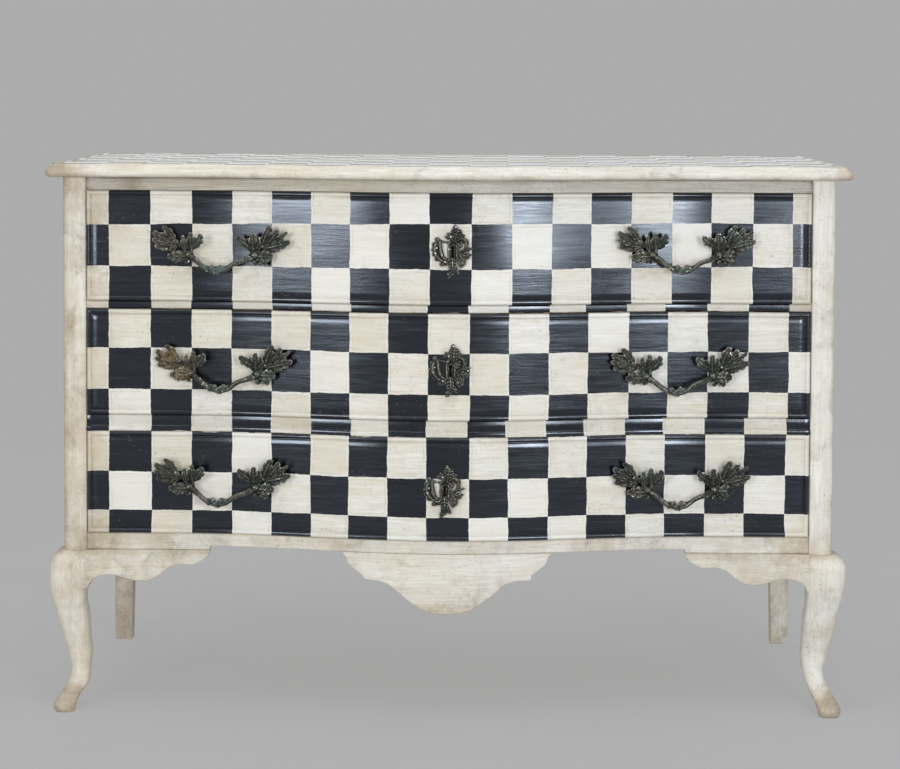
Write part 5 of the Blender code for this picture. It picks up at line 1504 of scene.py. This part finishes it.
# rows: place, slope about Z, lean about X (a positive quarter turn faces the front)
def setHeads(name, rows, kind, finish, body):
    places, slopes, leans = zip(*rows)
    values = dict(hardware[kind], finish=finishes[finish])
    piece = setOut(name, places, headTree, values, (("slope", slopes), ("lean", leans)))
    softened(piece, hardware[kind]["headHeight"] * hardware["softShare"], 30.0)
    shade(piece.data, 30.0)
    return mount(piece, body)


quarter = math.pi / 2
for level in levels:
    body = f"{level}_drawer"
    eyeX, eyeZ = fittings["eyes"][level]
    nuts = []
    for centreX, centreZ in fittings["handles"][level]:
        for end in (-1, 1):
            x = centreX + end * fittings["node"]
            y = frontPlane + swellAt(x) + hardware["tail"]
            steep = (swellAt(x + 0.004) - swellAt(x - 0.004)) / 0.008
            nuts.append(((x, y + hardware["seat"], centreZ), math.atan(steep), -quarter))
    setHeads(f"{level}HandleNuts", nuts, "nut", "iron", body)
    low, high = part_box(f"{level}_lock_case")
    inset = hardware["screwInset"]
    screws = [
        ((x, high.y, z), 0.0, -quarter)
        for x in (low.x + inset, high.x - inset) for z in (low.z + inset, high.z - inset)
    ]
    setHeads(f"{level}LockScrews", screws, "lockScrew", "steel", body)
    pins = [
        ((eyeX + x * mm, fieldAt(eyeX + x * mm) - out * mm, eyeZ + z * mm), 0.0, quarter)
        for x, z, out in hardware["pins"]
    ]
    setHeads(f"{level}EscutcheonPins", pins, "pin", "brightPin", body)
print("screws, nuts and pins done")

stopDepth, stopHeight = hardware["stop"][1:]
stopY = frontPlane + hardware["tail"] + hardware["stopGap"] + stopDepth / 2
stops = [
    (side * hardware["stopPlace"], stopY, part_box(under)[1].z + stopHeight / 2 + hardware["stopLift"])
    for under in ("bottom_front_rail", "lower_drawer_rail", "upper_drawer_rail") for side in (-1, 1)
]
blocks = setOut("drawerStops", stops, blockTree, {"size": hardware["stop"], "finish": finishes["pineX"]})
mount(softened(blocks, hardware["stopEdge"]), "case")
print("drawer stops done")

# ---- camera, light and floor

view = {
    "place": (0.0595, -4.2477, 1.0147), "pitch": 3.3144, "yaw": -0.8132, "roll": 0.2419,
    "lens": 2539.18 / 900 * 36, "shift": -160.785 / 900,
}


def addCamera():
    pitch, yaw, roll = (math.radians(view[key]) for key in ("pitch", "yaw", "roll"))
    ahead = Vector((math.sin(yaw) * math.cos(pitch), math.cos(yaw) * math.cos(pitch), -math.sin(pitch)))
    right = ahead.cross(Vector((0, 0, 1))).normalized()
    up = right.cross(ahead)
    across = right * math.cos(roll) + up * math.sin(roll)
    upward = across.cross(ahead)
    data = bpy.data.cameras.new("photoCamera")
    data.sensor_width, data.clip_end = 36, 100
    data.lens, data.shift_y = view["lens"], view["shift"]
    camera = newPiece("photoCamera", data)
    turn = camera.matrix_world.copy()
    for row in range(3):
        turn[row][:] = across[row], upward[row], -ahead[row], view["place"][row]
    camera.matrix_world = turn
    stageScene.camera = camera


studio = {
    "backdrop": (0.413, 0.413, 0.413), "fill": (0.50, 0.50, 0.50), "tone": (0.955, 0.985, 1.04),
    "floorHalf": 30.0, "floorRings": 24, "floorSides": 48, "floorKept": 0.22, "floorFade": (1.0, 3.2),
    "floorTones": (0.600, 0.640), "floorRoughness": 0.9,
    # softbox: place, target, width, height, power
    "softboxes": (
        ("softLeft", (-2.48, -4.20, 1.13), (0.0, -0.2, 0.70), 1.15, 1.3, 58),
        ("softRight", (1.58, -4.25, 1.13), (0.1, -0.2, 0.70), 0.76, 1.3, 63),
        ("softTop", (0.0, -0.9, 3.4), (0.0, -0.1, 0.6), 2.6, 1.8, 34),
        ("softBehind", (0.0, 3.5, 1.2), (0.0, 0.0, 0.9), 5.0, 1.2, 12.5),
    ),
}


def seenStraight(tree):
    # 1 for the camera's, mirrors' and glass's own rays
    camera, glossy, through = [
        addNode(tree, "ShaderNodeLightPath", output=f"Is {kind} Ray")
        for kind in ("Camera", "Glossy", "Transmission")
    ]
    return calc("MAXIMUM", calc("MAXIMUM", camera, glossy), through)


def addWorld():
    world = bpy.data.worlds.new("studioWorld")
    stageScene.world = world
    world.use_nodes = True
    tree = world.node_tree
    wire(tree, tint(seenStraight(tree), studio["fill"], studio["backdrop"]),
         tree.nodes["Background"].inputs["Color"])


def addSoftbox(name, place, target, width, height, power):
    data = bpy.data.lights.new(name, "AREA")
    data.shape = "RECTANGLE"
    data.size, data.size_y = width, height
    data.energy, data.color = power, studio["tone"]
    lamp = newPiece(name, data)
    lamp.location = place
    lamp.rotation_euler = (Vector(target) - Vector(place)).to_track_quat("-Z", "Y").to_euler()
    lamp.visible_camera = False


# The floor takes shadows near the piece and fades into the backdrop's own tone
def floorMaterial():
    material, shader, place = startMaterial("studioFloor")
    tree = material.node_tree
    shader.inputs["Roughness"].default_value = studio["floorRoughness"]
    wire(tree, ramp(noiseAt(place, 3.0, 4.0), 0.3, 0.7, studio["floorTones"]), shader.inputs["Base Color"])
    glow = addNode(tree, "ShaderNodeEmission", {"Color": (*studio["backdrop"], 1.0)})
    far = ramp(vecCalc("LENGTH", place, output="Value"), *studio["floorFade"], (1 - studio["floorKept"], 1.0))
    lit = Value(tree, shader.outputs[0])
    mix = addNode(tree, "ShaderNodeMixShader", {0: seenStraight(tree) * far, 1: lit, 2: glow})
    wire(tree, mix, tree.nodes["Material Output"].inputs["Surface"])
    return material


def addFloor():
    rings, sides = studio["floorRings"], studio["floorSides"]
    points, faces = [(0.0, 0.0, 0.0)], []
    for row in range(1, rings + 1):
        radius = studio["floorHalf"] * (row / rings) ** 2
        points += [(radius * math.cos(turn), radius * math.sin(turn), 0.0)
                   for turn in evenly(0.0, 2 * math.pi, sides)[:-1]]
    for side in range(sides):
        after = (side + 1) % sides
        faces.append((0, 1 + side, 1 + after))
        for row in range(rings - 1):
            low, high = 1 + row * sides, 1 + (row + 1) * sides
            faces.append((low + side, high + side, high + after, low + after))
    floor = meshFrom("studioFloor", points, faces, [floorMaterial()])
    if floor.data.polygons[0].normal.z < 0:
        floor.data.flip_normals()


addCamera()
addWorld()
for softbox in studio["softboxes"]:
    addSoftbox(*softbox)
addFloor()
stageScene.view_settings.view_transform = "Standard"
print("camera and studio ready")
